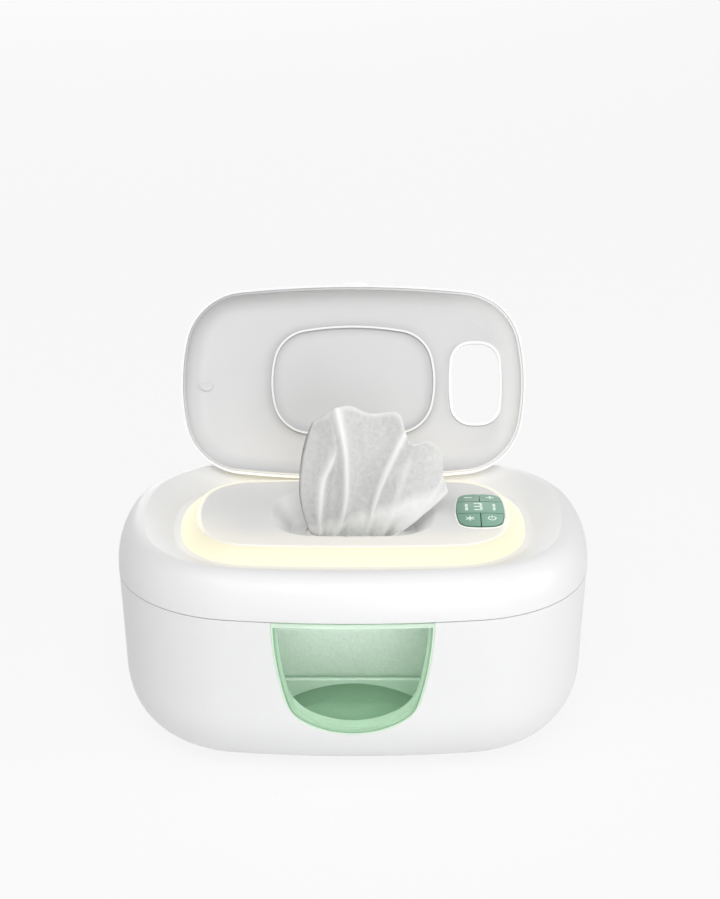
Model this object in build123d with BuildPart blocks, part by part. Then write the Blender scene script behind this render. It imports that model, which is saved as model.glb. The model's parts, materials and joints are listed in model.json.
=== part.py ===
from build123d import *
import os
from math import atan2, degrees, hypot, sqrt

os.makedirs("parts", exist_ok=True)

# Baby wipe warmer, in millimetres. +Z is up, the front faces -Y, and the origin is
# the middle of the face that it stands on. Every outline is a bowed rounded
# rectangle of eight tangent arcs, given as a plan:
# (half width, half depth, front and rear radius, side radius, corner radius).

# --- Body ---
body_plan = (120.0, 84.2, 451.0, 145.0, 64.6)
foot_height = 2.0
parting_z = 89.7
shell_wall = 2.6
shell_draft = 2.8  # the wall leans in by this much from the parting line to the rounding
bottom_round_w = 33.0
bottom_round_h = 36.6
fit_gap = 0.15  # between pieces of one body
run_gap = 0.35  # between pieces of different bodies
seam_gap = 0.5  # the dark line between base and cover

# --- Base floor ---
floor_thick = 2.4
ledge_thick = 2.6
cover_plate_inset = 47.7
ledge_width = 6.3
foot_inset = 39.5
foot_width = 5.5
foot_sink = 0.8

# --- Wipe tank ---
tank_gap = 12.0  # from the outside of the body to the inside of the tank wall, less the wall
tank_wall = 1.8
tank_floor_z = 12.0
tank_rim_z = 89.4
tank_round = 24.0
tank_flange_thick = 2.0
tank_flange_inset = 3.0
platform_z = 39.6
platform_front = -45.0
tank_boss_x = 52.0
tank_boss_y = (-18.0, 18.0)
tank_boss_r = 4.0

# --- Front window ---
window_plan = (40.3, 65.2, 47.0, 168.0, 24.0)  # seen from the front, widest at window_mid_z
window_mid_z = 92.0
window_top_z = 89.4
window_pane = 2.0
window_wall = 1.8
window_inner_y = -67.5
window_top_wall = 2.2

# --- Cover ---
shoulder_w = 13.65
shoulder_h = 21.2
shoulder_z = 90.9
cover_wall = 2.4
dish_z = 105.3
seat_width = 3.7  # flat seat round the glowing ring, where the lid's rim comes down
liner_z = 93.0
liner_thick = 2.0
seal_inset = 9.0
seal_width = 3.0

# --- Raised deck and its glowing ring ---
deck_plan = (79.5, 42.0, 811.0, 92.0, 27.8)
deck_z = 112.8
deck_thick = 2.2
deck_edge = 0.6
ring_run = 8.4  # how far the glowing wall spreads on its way down
ring_wall = 1.8
ring_flange = 3.0
ring_lip = 0.9
bowl_plan = (41.5, 29.2, 160.0, 52.0, 20.0)
bowl_y = -1.4
bowl_depth = 10.0
bowl_slope = 9.5  # how far the bowl narrows on its way down
bowl_round = 2.5
slot_plan = (24.0, 10.5, 80.0, 14.0, 8.0)

# --- Key panel ---
panel_plan = (12.3, 20.3, 34.0, 90.0, 6.5)
panel_x = 64.9
panel_y = 0.3
panel_rise = 2.1
panel_crown = 170.0
key_split_high = 8.7
key_split_low = -6.2
key_groove = 0.5
key_travel = 0.5
key_sink = 1.4  # from the deck's face down to the underside of a key cap
bezel_width = 0.6
bezel_rise = 0.3

# --- Flip lid, drawn closed and turned open about its hinge ---
lid_plan = (91.2, 52.0, 588.0, 114.0, 33.2)
lid_open = 120.0
hinge_y = 52.2
hinge_z = 108.1
hinge_pin_r = 0.9
hinge_knuckle_r = 2.0
hinge_ear_r = 2.3
lid_rim_z = 106.3
lid_lip = 1.3
lid_round_w = 13.0
lid_top_z = 117.6
lid_wall = 1.2
lid_liner_thick = 1.0
gasket_plan = (42.5, 29.0, 150.0, 55.0, 19.0)
gasket_width = 1.1
gasket_y = -1.2
cutout_plan = (12.9, 21.4, 40.0, 120.0, 10.0)
cutout_trim = 1.3
cutout_lead = 0.6  # how far the lid's opening sits in front of the panel's middle

# --- Main hinge at the rear ---
main_hinge_y = body_plan[1] + 2.8
main_hinge_z = parting_z + seam_gap / 2
main_knuckle_r = 3.0
main_pin_r = 1.25
main_knuckle_half = 34.0  # from the middle of the body to the middle of a hinge set
main_knuckle_len = 10.0


def plan_centres(plan):
    """Centres of the front and side arcs, the corner arc's centre, and its end angles."""
    half_w, half_d, r_front, r_side, r_corner = plan
    front_c, side_c = half_d - r_front, half_w - r_side
    reach_f, reach_s = r_front - r_corner, r_side - r_corner
    span = hypot(side_c, front_c)
    along = (reach_f**2 - reach_s**2 + span**2) / (2 * span)
    across = sqrt(reach_f**2 - along**2)
    corner_x = (along * side_c - across * front_c) / span
    corner_y = front_c - (along * front_c + across * side_c) / span
    front_end = degrees(atan2(corner_y - front_c, corner_x))
    side_end = degrees(atan2(corner_y, corner_x - side_c))
    return front_c, side_c, corner_x, corner_y, front_end, side_end


def bowed_arcs(plan, inset=0.0, centre=(0, 0)):
    """Draw a plan's outline, moved in by inset, in the open BuildLine."""
    front_c, side_c, corner_x, corner_y, front_end, side_end = plan_centres(plan)
    r_front, r_side, r_corner = (radius - inset for radius in plan[2:])
    cx, cy = centre
    turn = front_end - side_end
    CenterArc((cx + side_c, cy), r_side, 0, side_end)
    CenterArc((cx + corner_x, cy + corner_y), r_corner, side_end, turn)
    CenterArc((cx, cy + front_c), r_front, front_end, 180 - 2 * front_end)
    CenterArc((cx - corner_x, cy + corner_y), r_corner, 180 - front_end, turn)
    CenterArc((cx - side_c, cy), r_side, 180 - side_end, 2 * side_end)
    CenterArc((cx - corner_x, cy - corner_y), r_corner, 180 + side_end, turn)
    CenterArc((cx, cy - front_c), r_front, 180 + front_end, 180 - 2 * front_end)
    CenterArc((cx + corner_x, cy - corner_y), r_corner, -front_end, turn)
    CenterArc((cx + side_c, cy), r_side, -side_end, side_end)


def bowed_area(plan, inset=0.0, centre=(0, 0), mode=Mode.ADD):
    """Add a plan's filled outline to the open BuildSketch."""
    with BuildLine() as outline:
        bowed_arcs(plan, inset, centre)
    make_face(outline.edges(), mode=mode)


def bowed_path(plan, z):
    """The outline as one closed wire at height z, for a profile to be swept along."""
    with BuildLine(Plane.XY.offset(z)) as path:
        bowed_arcs(plan)
    return path.wires()[0]


def grown(plan, by):
    """The parallel plan that lies outside another by a distance."""
    return tuple(size + by for size in plan)


def chain(*points):
    """Straight lines from point to point, left open."""
    return Polyline(*points)


def finish(piece, name):
    """Name a finished piece and write it to its own file."""
    piece.part.label = name
    export_step(piece.part, f"parts/{name}.step")


on_floor = (Align.CENTER, Align.CENTER, Align.MIN)
from_top = (Align.CENTER, Align.CENTER, Align.MAX)


body_w, body_d = body_plan[0], body_plan[1]
base_z = foot_height
round_x = body_w - shell_draft - bottom_round_w  # where the bottom rounding meets the floor
round_z = base_z + bottom_round_h
shell_floor_z = base_z + floor_thick + ledge_thick
body_path = bowed_path(body_plan, parting_z)


def body_skin(inset, bottom_z, inner_x):
    """Profile of the body from its skin, moved in by inset, to inner_x."""
    skin_x = body_w - inset
    with BuildLine() as outline:
        side = Line((skin_x, parting_z), (skin_x - shell_draft, round_z))
        rounding = EllipticalCenterArc(
            (round_x, round_z), bottom_round_w - inset, round_z - bottom_z,
            start_angle=270, arc_size=90,
        )
        chain((round_x, bottom_z), (inner_x, bottom_z), (inner_x, parting_z), side @ 0)
    make_face(outline.edges())


# The base shell: a deep moulded bucket with an open floor. A ledge round the floor
# opening takes the bottom cover, and a groove holds the rubber foot.
opening_x = body_w - cover_plate_inset
ledge_x = opening_x - ledge_width
tongue_in, tongue_out = body_w - shell_wall, body_w - shell_wall + 1.0
tongue_z = parting_z + 1.7
tank_ledge_z = tank_rim_z - tank_flange_thick
with BuildPart() as base_shell:
    with BuildSketch(Plane.XZ):
        with BuildLine():
            side = Line((body_w, parting_z), (body_w - shell_draft, round_z))
            EllipticalCenterArc(
                (round_x, round_z), bottom_round_w, bottom_round_h, start_angle=270, arc_size=90
            )
            chain(
                (round_x, base_z),
                (body_w - foot_inset, base_z),
                (body_w - foot_inset, base_z + foot_sink),
                (body_w - foot_inset - foot_width, base_z + foot_sink),
                (body_w - foot_inset - foot_width, base_z),
                (opening_x, base_z),
                (opening_x, base_z + floor_thick),
                (ledge_x, base_z + floor_thick),
                (ledge_x, shell_floor_z),
                (round_x, shell_floor_z),
            )
            EllipticalCenterArc(
                (round_x, round_z), bottom_round_w - shell_wall, round_z - shell_floor_z,
                start_angle=270, arc_size=90,
            )
            chain(
                (body_w - shell_draft - shell_wall, round_z),
                (body_w - shell_wall - 0.4, tank_ledge_z - 3.0),
                (body_w - shell_wall - 3.4, tank_ledge_z - 1.2),
                (body_w - shell_wall - 3.4, tank_ledge_z),
                (tongue_in, tank_ledge_z),
                (tongue_in, tongue_z),
                (tongue_out, tongue_z),
                (tongue_out, parting_z),
                side @ 0,
            )
        make_face()
    sweep(path=body_path)


def window_area(inset, top_z):
    """The window's outline seen from the front: straight on top, bowed below."""
    bowed_area(window_plan, inset, (0, window_mid_z))
    with Locations((0, top_z)):
        Rectangle(
            2 * window_plan[0] + 2, 2 * window_plan[1],
            align=(Align.CENTER, Align.MAX), mode=Mode.INTERSECT,
        )


def cut_from_front(inner_y):
    """Sketch plane across the body at inner_y, facing the front."""
    return Plane.XZ.offset(-inner_y)


front_reach = 40.0  # longer than any cut through the front wall
hinge_sides = (-main_knuckle_half, main_knuckle_half)
base_knuckle_len = main_knuckle_len / 2
inlet_z = 26.0
inlet_face_y = 76.2
inlet_pad = 4.0
inlet_snout_r = 5.5
with base_shell:
    with BuildSketch(cut_from_front(window_inner_y + 10)):
        window_area(-fit_gap, tongue_z + 1)
    extrude(amount=front_reach, mode=Mode.SUBTRACT)
    # Rear hinge knuckles, a pair to each side, on webs from the rear wall
    for side_x in hinge_sides:
        for sign in (-1, 1):
            middle_x = side_x + sign * (main_knuckle_len / 2 + run_gap + base_knuckle_len / 2)
            with Locations((middle_x, main_hinge_y, main_hinge_z)):
                Cylinder(main_knuckle_r, base_knuckle_len, rotation=(0, 90, 0))
            with Locations((middle_x, main_hinge_y, main_hinge_z - run_gap)):
                Box(
                    base_knuckle_len, 6.0, main_knuckle_r - run_gap,
                    align=(Align.CENTER, Align.MAX, Align.MAX),
                )
        with Locations((side_x, main_hinge_y, main_hinge_z)):
            Cylinder(
                main_pin_r + 0.02, 3 * main_knuckle_len, rotation=(0, 90, 0), mode=Mode.SUBTRACT
            )
    # Flat pad for the power inlet, sunk into the rounded rear wall
    with Locations((0, inlet_face_y, inlet_z)):
        Box(18, inlet_pad, 14, align=(Align.CENTER, Align.MAX, Align.CENTER))
        Cylinder(7.5, 20, rotation=(-90, 0, 0), align=on_floor,
                 mode=Mode.SUBTRACT)
        Cylinder(inlet_snout_r + fit_gap, 20, rotation=(90, 0, 0), mode=Mode.SUBTRACT)
finish(base_shell, "base_shell")

# The rubber foot: one oblong ring bonded into the groove under the shell.
with BuildPart() as foot_ring:
    with BuildSketch(Plane.XY):
        bowed_area(body_plan, foot_inset + fit_gap)
        bowed_area(body_plan, foot_inset + foot_width - fit_gap, mode=Mode.SUBTRACT)
    extrude(amount=foot_height + foot_sink)
finish(foot_ring, "foot_ring")

# The bottom cover closes the floor opening from below. Four screws pull it and the
# tank's long bosses together, with the shell's ledge between them.
screw_r = 1.5
screw_head_r = 2.9
pad_height = 2.0
pad_top_z = base_z + floor_thick + pad_height
tank_bosses = [(sign * tank_boss_x, y) for sign in (-1, 1) for y in tank_boss_y]
board_z = 10.0
board_size = (90.0, 48.0)
board_y = 2.0
board_posts = [(x, board_y + y) for x in (-41.0, 41.0) for y in (-20.0, 20.0)]
with BuildPart() as bottom_cover:
    with BuildSketch(Plane.XY.offset(base_z)):
        bowed_area(body_plan, cover_plate_inset + fit_gap)
    extrude(amount=floor_thick)
    with Locations([(x, y, base_z + floor_thick) for x, y in tank_bosses]):
        Cylinder(5.0, pad_height, align=on_floor)
    with Locations([(x, y, base_z) for x, y in tank_bosses]):
        Cylinder(screw_head_r + 0.3, 2.4, align=on_floor,
                 mode=Mode.SUBTRACT)
        Cylinder(screw_r + 0.2, 10, mode=Mode.SUBTRACT)
    with Locations([(x, y, base_z + floor_thick) for x, y in board_posts]):
        Cylinder(2.5, board_z - base_z - floor_thick,
                 align=on_floor)
    # Cooling slots in two rows under the circuit board
    with BuildSketch(Plane.XY.offset(base_z)):
        with GridLocations(9.0, 26.0, 7, 2):
            SlotOverall(14.0, 2.4, rotation=90)
    extrude(amount=floor_thick, mode=Mode.SUBTRACT)
finish(bottom_cover, "bottom_cover")

with BuildPart() as bottom_screws:
    with Locations([(x, y, base_z + 2.4) for x, y in tank_bosses]):
        Cylinder(screw_head_r, 1.8, align=from_top)
        Cylinder(screw_r, 14.0, align=on_floor)
finish(bottom_screws, "bottom_screws")


def window_plug(skin_inset, edge_inset, inner_y, top_z):
    """The body's front, from its skin to inner_y, cut to the window's outline."""
    with BuildPart() as plug:
        with BuildSketch(Plane.XZ):
            body_skin(skin_inset, base_z + skin_inset, ledge_x)
        sweep(path=body_path)
        with BuildSketch(cut_from_front(inner_y)):
            window_area(edge_inset, top_z)
        extrude(amount=front_reach, mode=Mode.INTERSECT)
    return plug.part


# The window: a clear green moulding whose pane lies flush in the shell and whose
# wall reaches in to the tank, so that the wipes can be seen from the front.
window_outside = window_plug(0.0, 0.0, window_inner_y, window_top_z)
window_inside = window_plug(
    window_pane, window_wall, window_inner_y + 1, window_top_z - window_top_wall
)
with BuildPart() as viewing_window:
    add(window_outside)
    add(window_inside, mode=Mode.SUBTRACT)
finish(viewing_window, "viewing_window")

# The tank: a bucket with a shallow trough in front and a raised, heated platform
# behind it. Its flange rests on the ledge inside the shell.
tank_inner_inset = tank_gap + tank_wall
with BuildPart() as tank_space:
    with BuildSketch(Plane.XY.offset(tank_floor_z)):
        bowed_area(body_plan, tank_inner_inset)
    extrude(amount=tank_rim_z - tank_floor_z + 1)
    fillet(tank_space.edges().group_by(Axis.Z)[0], tank_round - tank_wall)
    with BuildSketch(Plane.XY):
        with Locations((0, platform_front)):
            Rectangle(2 * body_w, 2 * body_d, align=(Align.CENTER, Align.MIN))
    extrude(amount=platform_z, mode=Mode.SUBTRACT)
tank_cavity = tank_space.part
platform_under_z = platform_z - tank_wall
with BuildPart() as tank:
    with BuildSketch(Plane.XY.offset(tank_floor_z - tank_wall)):
        bowed_area(body_plan, tank_gap)
    extrude(amount=tank_rim_z - tank_floor_z + tank_wall)
    fillet(tank.edges().group_by(Axis.Z)[0], tank_round)
    with BuildSketch(Plane.XY.offset(tank_ledge_z)):
        bowed_area(body_plan, tank_flange_inset)
    extrude(amount=tank_flange_thick)
    add(tank_cavity, mode=Mode.SUBTRACT)
    with BuildSketch(Plane.XY):
        with Locations((0, platform_front + tank_wall)):
            Rectangle(2 * body_w, 2 * body_d, align=(Align.CENTER, Align.MIN))
    extrude(amount=platform_under_z, mode=Mode.SUBTRACT)
    with Locations([(x, y, pad_top_z) for x, y in tank_bosses]):
        Cylinder(tank_boss_r, platform_under_z - pad_top_z,
                 align=on_floor)
        Cylinder(screw_r + 0.05, 14.0, align=on_floor,
                 mode=Mode.SUBTRACT)
    with BuildSketch(cut_from_front(window_inner_y + 10)):
        window_area(-fit_gap, tank_rim_z + 1)
    extrude(amount=front_reach, mode=Mode.SUBTRACT)
finish(tank, "tank")

# The heater under the platform: an aluminium spreader, a silicone heating mat, a
# felt blanket and the thermal cut-out that sits on the mat.
heater_size = (92.0, 74.0)
heater_y = 22.0
spreader_thick = 1.0
mat_thick = 0.8
blanket_thick = 5.0
mat_inset = 2.0
heater_round = 5.0
cutout_size = (16.0, 8.0, 4.0)
cutout_place = (26.0, 30.0)
mat_z = platform_under_z - spreader_thick - mat_thick
mat_size = (heater_size[0] - 2 * mat_inset, heater_size[1] - 2 * mat_inset)
with BuildPart() as heat_spreader:
    with BuildSketch(Plane.XY.offset(platform_under_z - spreader_thick)):
        with Locations((0, heater_y)):
            RectangleRounded(*heater_size, heater_round)
    extrude(amount=spreader_thick)
finish(heat_spreader, "heat_spreader")
with BuildPart() as heating_mat:
    with BuildSketch(Plane.XY.offset(mat_z)):
        with Locations((0, heater_y)):
            RectangleRounded(*mat_size, heater_round - mat_inset)
    extrude(amount=mat_thick)
finish(heating_mat, "heating_mat")
with BuildPart() as insulation:
    with BuildSketch(Plane.XY.offset(mat_z - blanket_thick)):
        with Locations((0, heater_y)):
            RectangleRounded(*mat_size, heater_round - mat_inset)
        with Locations(cutout_place):
            Rectangle(cutout_size[0] + 2, cutout_size[1] + 2, mode=Mode.SUBTRACT)
    extrude(amount=blanket_thick)
finish(insulation, "insulation")
with BuildPart() as thermal_cutout:
    with Locations((*cutout_place, mat_z)):
        Box(*cutout_size, align=from_top)
finish(thermal_cutout, "thermal_cutout")

# The power board on its four posts, with its transformer, capacitors and connector.
board_thick = 1.6
transformer_size = (22.0, 18.0, 12.0)
transformer_x = -22.0
capacitor_r, capacitor_height = 5.0, 14.0
capacitor_spots = ((8.0, -10.0), (8.0, 10.0))
socket_size = (10.0, 20.0, 7.0)
socket_spot = (30.0, 12.0)
board_top_z = board_z + board_thick
with BuildPart() as power_board:
    with Locations((0, board_y, board_z)):
        Box(*board_size, board_thick, align=on_floor)
    with Locations((transformer_x, board_y, board_top_z)):
        Box(*transformer_size, align=on_floor)
    with Locations([(x, y, board_top_z) for x, y in capacitor_spots]):
        Cylinder(capacitor_r, capacitor_height, align=on_floor)
    with Locations((*socket_spot, board_top_z)):
        Box(*socket_size, align=on_floor)
finish(power_board, "power_board")

# The power inlet: a round-nosed barrel jack pushed through the pad from inside.
jack_body_y = inlet_face_y - inlet_pad
jack_size = (11.0, 10.0, 11.0)
jack_bore_r, jack_bore, jack_pin_r = 3.1, 9.0, 1.0
with BuildPart() as power_inlet:
    with Locations((0, jack_body_y, inlet_z)):
        Box(*jack_size, align=(Align.CENTER, Align.MAX, Align.CENTER))
        Cylinder(inlet_snout_r, inlet_pad, rotation=(-90, 0, 0), align=on_floor)
    with Locations((0, inlet_face_y, inlet_z)):
        Cylinder(jack_bore_r, jack_bore, rotation=(90, 0, 0), align=on_floor,
                 mode=Mode.SUBTRACT)
    with Locations((0, inlet_face_y - 1, inlet_z)):
        Cylinder(jack_pin_r, jack_bore, rotation=(90, 0, 0), align=on_floor)
finish(power_inlet, "power_inlet")

# The stack of folded wet wipes on the platform.
stack_top_z = 70.0
stack_size = (178.0, 100.0)
stack_y = 6.5
soft_gap = 0.3
with BuildPart() as wipe_stack:
    with BuildSketch(Plane.XY.offset(platform_z + soft_gap)):
        with Locations((0, stack_y)):
            RectangleRounded(*stack_size, 8.0)
    extrude(amount=stack_top_z - platform_z - soft_gap)
    fillet(wipe_stack.edges().group_by(Axis.Z)[-1], 3.0)
finish(wipe_stack, "wipe_stack")

# The moisture sponge: an arched block that stands in the trough against the platform.
sponge_half_w = 36.0
sponge_top_z = 37.8
sponge_arch_r = 67.0
sponge_depth = 17.4
sponge_round = 14.0
with BuildPart() as moisture_sponge:
    with BuildSketch(cut_from_front(platform_front - soft_gap)):
        with Locations((0, tank_floor_z + soft_gap)):
            Rectangle(2 * sponge_half_w, sponge_top_z, align=(Align.CENTER, Align.MIN))
        with Locations((0, sponge_top_z - sponge_arch_r)):
            Circle(sponge_arch_r, mode=Mode.INTERSECT)
    extrude(amount=sponge_depth)
    fillet(moisture_sponge.edges().filter_by(Axis.X).sort_by(Axis.Y)[:2].sort_by(Axis.Z)[0:1],
           sponge_round)
finish(moisture_sponge, "moisture_sponge")

# The rear hinge pins, one to each hinge set, pressed into the base's knuckles.
with BuildPart() as main_hinge_pins:
    with Locations([(x, main_hinge_y, main_hinge_z) for x in hinge_sides]):
        Cylinder(main_pin_r, 2 * main_knuckle_len + 2 * run_gap, rotation=(0, 90, 0))
finish(main_hinge_pins, "main_hinge_pins")

# ---------------------------------------------------------------- cover
foot_plan = grown(deck_plan, ring_run)  # the glowing wall's outline in the dish
seat_plan = grown(foot_plan, seat_width)
crest_z = shoulder_z + shoulder_h
slope_z = (deck_z - dish_z) / ring_run  # fall of the glowing wall per mm outwards


def funnel(high_plan, high_z, low_plan, low_z):
    """Solid between two outlines at two heights."""
    with BuildPart() as body:
        with BuildSketch(Plane.XY.offset(high_z)):
            bowed_area(high_plan)
        with BuildSketch(Plane.XY.offset(low_z)):
            bowed_area(low_plan)
        loft(ruled=True)
    return body.part


# The cover: a rolled wall up to a crest, from which a broad dish runs down to a flat
# seat round the opening for the glowing ring.
crest_plan = grown(body_plan, -shoulder_w)
cover_foot_z = parting_z + seam_gap
lap_z = tongue_z + 0.4
lap_x = tongue_out + 0.3 - body_w
boss_r = 3.2
cover_bosses = [(98.0, 0.0), (-98.0, 0.0)] + [(x, y) for x in (-50.0, 50.0) for y in (-60.5, 60.5)]
boss_top_z = 106.3
screw_pilot = 1.3
ear_inner, ear_outer = 16.3, 20.3
ear_web = (hinge_y - 1.2, hinge_y + hinge_ear_r)
with BuildPart() as cover_shell:
    add(funnel(crest_plan, crest_z - cover_wall, seat_plan, dish_z - cover_wall))
    with BuildSketch(Plane.XY.offset(crest_z - cover_wall)):
        bowed_area(crest_plan)
    extrude(amount=cover_wall)
    add(funnel(crest_plan, crest_z, seat_plan, dish_z), mode=Mode.SUBTRACT)
    with BuildSketch(Plane.XZ):
        with BuildLine():
            outside = EllipticalCenterArc(
                (body_w - shoulder_w, shoulder_z), shoulder_w, shoulder_h,
                start_angle=0, arc_size=90,
            )
            inside = EllipticalCenterArc(
                (body_w - shoulder_w, lap_z), shoulder_w - cover_wall,
                crest_z - cover_wall - lap_z, start_angle=0, arc_size=90,
            )
            chain(
                outside @ 0,
                (body_w, cover_foot_z),
                (body_w + lap_x, cover_foot_z),
                (body_w + lap_x, lap_z),
                inside @ 0,
            )
            Line(inside @ 1, outside @ 1)
        make_face()
    sweep(path=body_path)
    with BuildSketch(Plane.XY.offset(liner_z)):
        bowed_area(foot_plan)
    extrude(amount=crest_z, mode=Mode.SUBTRACT)
    with Locations([(x, y, liner_z + liner_thick) for x, y in cover_bosses]):
        Cylinder(boss_r, boss_top_z - liner_z - liner_thick, align=on_floor)
        Cylinder(screw_pilot, 8.0, align=on_floor, mode=Mode.SUBTRACT)
    # Knuckles of the rear hinge
    with Locations([(x, main_hinge_y, main_hinge_z) for x in hinge_sides]):
        Cylinder(main_knuckle_r, main_knuckle_len, rotation=(0, 90, 0))
    with Locations([(x, main_hinge_y, main_hinge_z + run_gap) for x in hinge_sides]):
        Box(
            main_knuckle_len, main_hinge_y - body_d + 2.2, main_knuckle_r,
            align=(Align.CENTER, Align.MAX, Align.MIN),
        )
    with Locations([(x, main_hinge_y, main_hinge_z) for x in hinge_sides]):
        Cylinder(main_pin_r + 0.05, 2 * main_knuckle_len, rotation=(0, 90, 0), mode=Mode.SUBTRACT)
    # Ears for the flip lid's pins, standing on the seat behind the glowing ring
    ear_x = [sign * (ear_inner + ear_outer) / 2 for sign in (-1, 1)]
    with Locations([(x, hinge_y, hinge_z) for x in ear_x]):
        Cylinder(hinge_ear_r, ear_outer - ear_inner, rotation=(0, 90, 0))
    with Locations([(x, ear_web[0], dish_z - 1) for x in ear_x]):
        Box(
            ear_outer - ear_inner, ear_web[1] - ear_web[0], hinge_z - dish_z + 1,
            align=(Align.CENTER, Align.MIN, Align.MIN),
        )
    with Locations([(x, hinge_y, hinge_z) for x in ear_x]):
        Cylinder(hinge_pin_r + 0.02, ear_outer - ear_inner + 1, rotation=(0, 90, 0),
                 mode=Mode.SUBTRACT)
finish(cover_shell, "cover_shell")

# The flip lid's two hinge pins, pressed into the ears.
lid_knuckle = (8.3, 15.7)
pin_mid = (lid_knuckle[0] + ear_outer) / 2
with BuildPart() as flip_hinge_pins:
    with Locations([(x, hinge_y, hinge_z) for x in (-pin_mid, pin_mid)]):
        Cylinder(hinge_pin_r, ear_outer - lid_knuckle[0], rotation=(0, 90, 0))
finish(flip_hinge_pins, "flip_hinge_pins")

# The glowing ring: a clear-white wall that slopes from the deck down to the dish,
# with a lip that carries the deck and a flange held under the dish.
ring_skew = ring_wall * hypot(1, slope_z) / slope_z
ring_top_z = deck_z - deck_edge - fit_gap
deck_under_z = deck_z - deck_thick
ring_lip_x = deck_plan[0] - ring_lip
ring_foot_x = foot_plan[0] - 0.1
flange_top_z = dish_z - cover_wall - 0.1
flange_low_z = flange_top_z - ring_wall


def ring_skin_x(z):
    """Outside of the glowing wall at a height."""
    return deck_plan[0] + (deck_z - z) / slope_z


deck_path = bowed_path(deck_plan, deck_z)
with BuildPart() as light_ring:
    with BuildSketch(Plane.XZ):
        with BuildLine():
            Polyline(
                (ring_skin_x(ring_top_z), ring_top_z),
                (ring_foot_x, deck_z - (ring_foot_x - deck_plan[0]) * slope_z),
                (ring_foot_x, flange_top_z),
                (ring_foot_x + ring_flange, flange_top_z),
                (ring_foot_x + ring_flange, flange_low_z),
                (ring_foot_x - ring_skew, flange_low_z),
                (ring_foot_x - ring_skew, deck_z - (ring_foot_x - deck_plan[0]) * slope_z),
                (ring_skin_x(deck_under_z) - ring_skew, deck_under_z),
                (ring_lip_x, deck_under_z),
                (ring_lip_x, ring_top_z),
                close=True,
            )
        make_face()
    sweep(path=deck_path)
finish(light_ring, "light_ring")

# The white trough under the ring, which throws the light upwards, and the lamp board
# that lies in it.
trough_x = (77.4, ring_foot_x + ring_flange)
trough_wall = 1.2
trough_low_z = liner_z + liner_thick + 0.1
lamp_board_thick = 1.2
lamp_board_x = (trough_x[0] + trough_wall + 0.2, trough_x[1] - trough_wall - 0.2)
lamp_board_z = trough_low_z + trough_wall
with BuildPart() as light_trough:
    with BuildSketch(Plane.XZ):
        with Locations((trough_x[0], trough_low_z)):
            Rectangle(
                trough_x[1] - trough_x[0], flange_low_z - trough_low_z,
                align=(Align.MIN, Align.MIN),
            )
        with Locations((trough_x[0] + trough_wall, trough_low_z + trough_wall)):
            Rectangle(
                trough_x[1] - trough_x[0] - 2 * trough_wall, crest_z,
                align=(Align.MIN, Align.MIN), mode=Mode.SUBTRACT,
            )
    sweep(path=deck_path)
finish(light_trough, "light_trough")
with BuildPart() as lamp_board:
    with BuildSketch(Plane.XZ):
        with Locations((lamp_board_x[0], lamp_board_z)):
            Rectangle(
                lamp_board_x[1] - lamp_board_x[0], lamp_board_thick, align=(Align.MIN, Align.MIN)
            )
    sweep(path=deck_path)
finish(lamp_board, "lamp_board")
lamp_spread = (84.0, 45.5)
with BuildPart() as lamps:
    with BuildSketch(Plane.XY.offset(lamp_board_z + lamp_board_thick)):
        with GridLocations(15.0, 2 * lamp_spread[1], 7, 2):
            Rectangle(3.5, 3.0)
        with GridLocations(2 * lamp_spread[0] - 2, 18.0, 2, 3):
            Rectangle(3.0, 3.5)
    extrude(amount=1.2)
finish(lamps, "lamps")

# The deck: the raised platform's top, with the deep bowl that the wipe is drawn
# through and the opening for the key panel.
bowl_floor_z = deck_z - bowl_depth
bowl_foot = grown(bowl_plan, -bowl_slope)
bowl_wall = 2.0


def bowl_cone(skin):
    """The bowl's space, moved outwards by skin."""
    with BuildPart() as cone:
        with BuildSketch(Plane.XY.offset(deck_z)):
            bowed_area(bowl_plan, -skin, (0, bowl_y))
        with BuildSketch(Plane.XY.offset(bowl_floor_z - skin)):
            bowed_area(bowl_foot, -skin, (0, bowl_y))
        loft(ruled=True)
    return cone.part


deck_posts = [(x, y) for x in (-48.0, 48.0) for y in (-33.0, 33.0)]
post_r = 3.0
with BuildPart() as deck:
    with BuildSketch(Plane.XY.offset(deck_under_z)):
        bowed_area(deck_plan, deck_plan[0] - ring_lip_x + fit_gap)
    extrude(amount=deck_thick)
    with BuildSketch(Plane.XZ):
        with BuildLine():
            Polyline(
                (deck_plan[0], deck_z),
                (ring_skin_x(deck_z - deck_edge), deck_z - deck_edge),
                (ring_lip_x - 1, deck_z - deck_edge),
                (ring_lip_x - 1, deck_z),
                close=True,
            )
        make_face()
    sweep(path=deck_path)
    add(bowl_cone(bowl_wall))
    add(bowl_cone(0), mode=Mode.SUBTRACT)
    with BuildSketch(Plane.XY.offset(bowl_floor_z - bowl_wall)):
        bowed_area(slot_plan, 0, (0, bowl_y))
    extrude(amount=bowl_wall, mode=Mode.SUBTRACT)
    mouth = [e for e in deck.edges() if abs(e.center().Z - deck_z) < 0.01
             and abs(e.center().X) <= bowl_plan[0] and abs(e.center().Y) < bowl_plan[1] + 3]
    fillet(mouth, bowl_round)
    with Locations([(x, y, deck_under_z + 0.5) for x, y in deck_posts]):
        Cylinder(post_r, deck_under_z + 0.5 - liner_z - liner_thick - 0.05, align=from_top)
    with Locations([(x, y, liner_z + liner_thick) for x, y in deck_posts]):
        Cylinder(screw_pilot, 8.0, align=on_floor, mode=Mode.SUBTRACT)
    with BuildSketch(Plane.XY.offset(deck_under_z)):
        bowed_area(panel_plan, -bezel_width - fit_gap, (panel_x, panel_y))
    extrude(amount=deck_thick, mode=Mode.SUBTRACT)
finish(deck, "deck")

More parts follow.
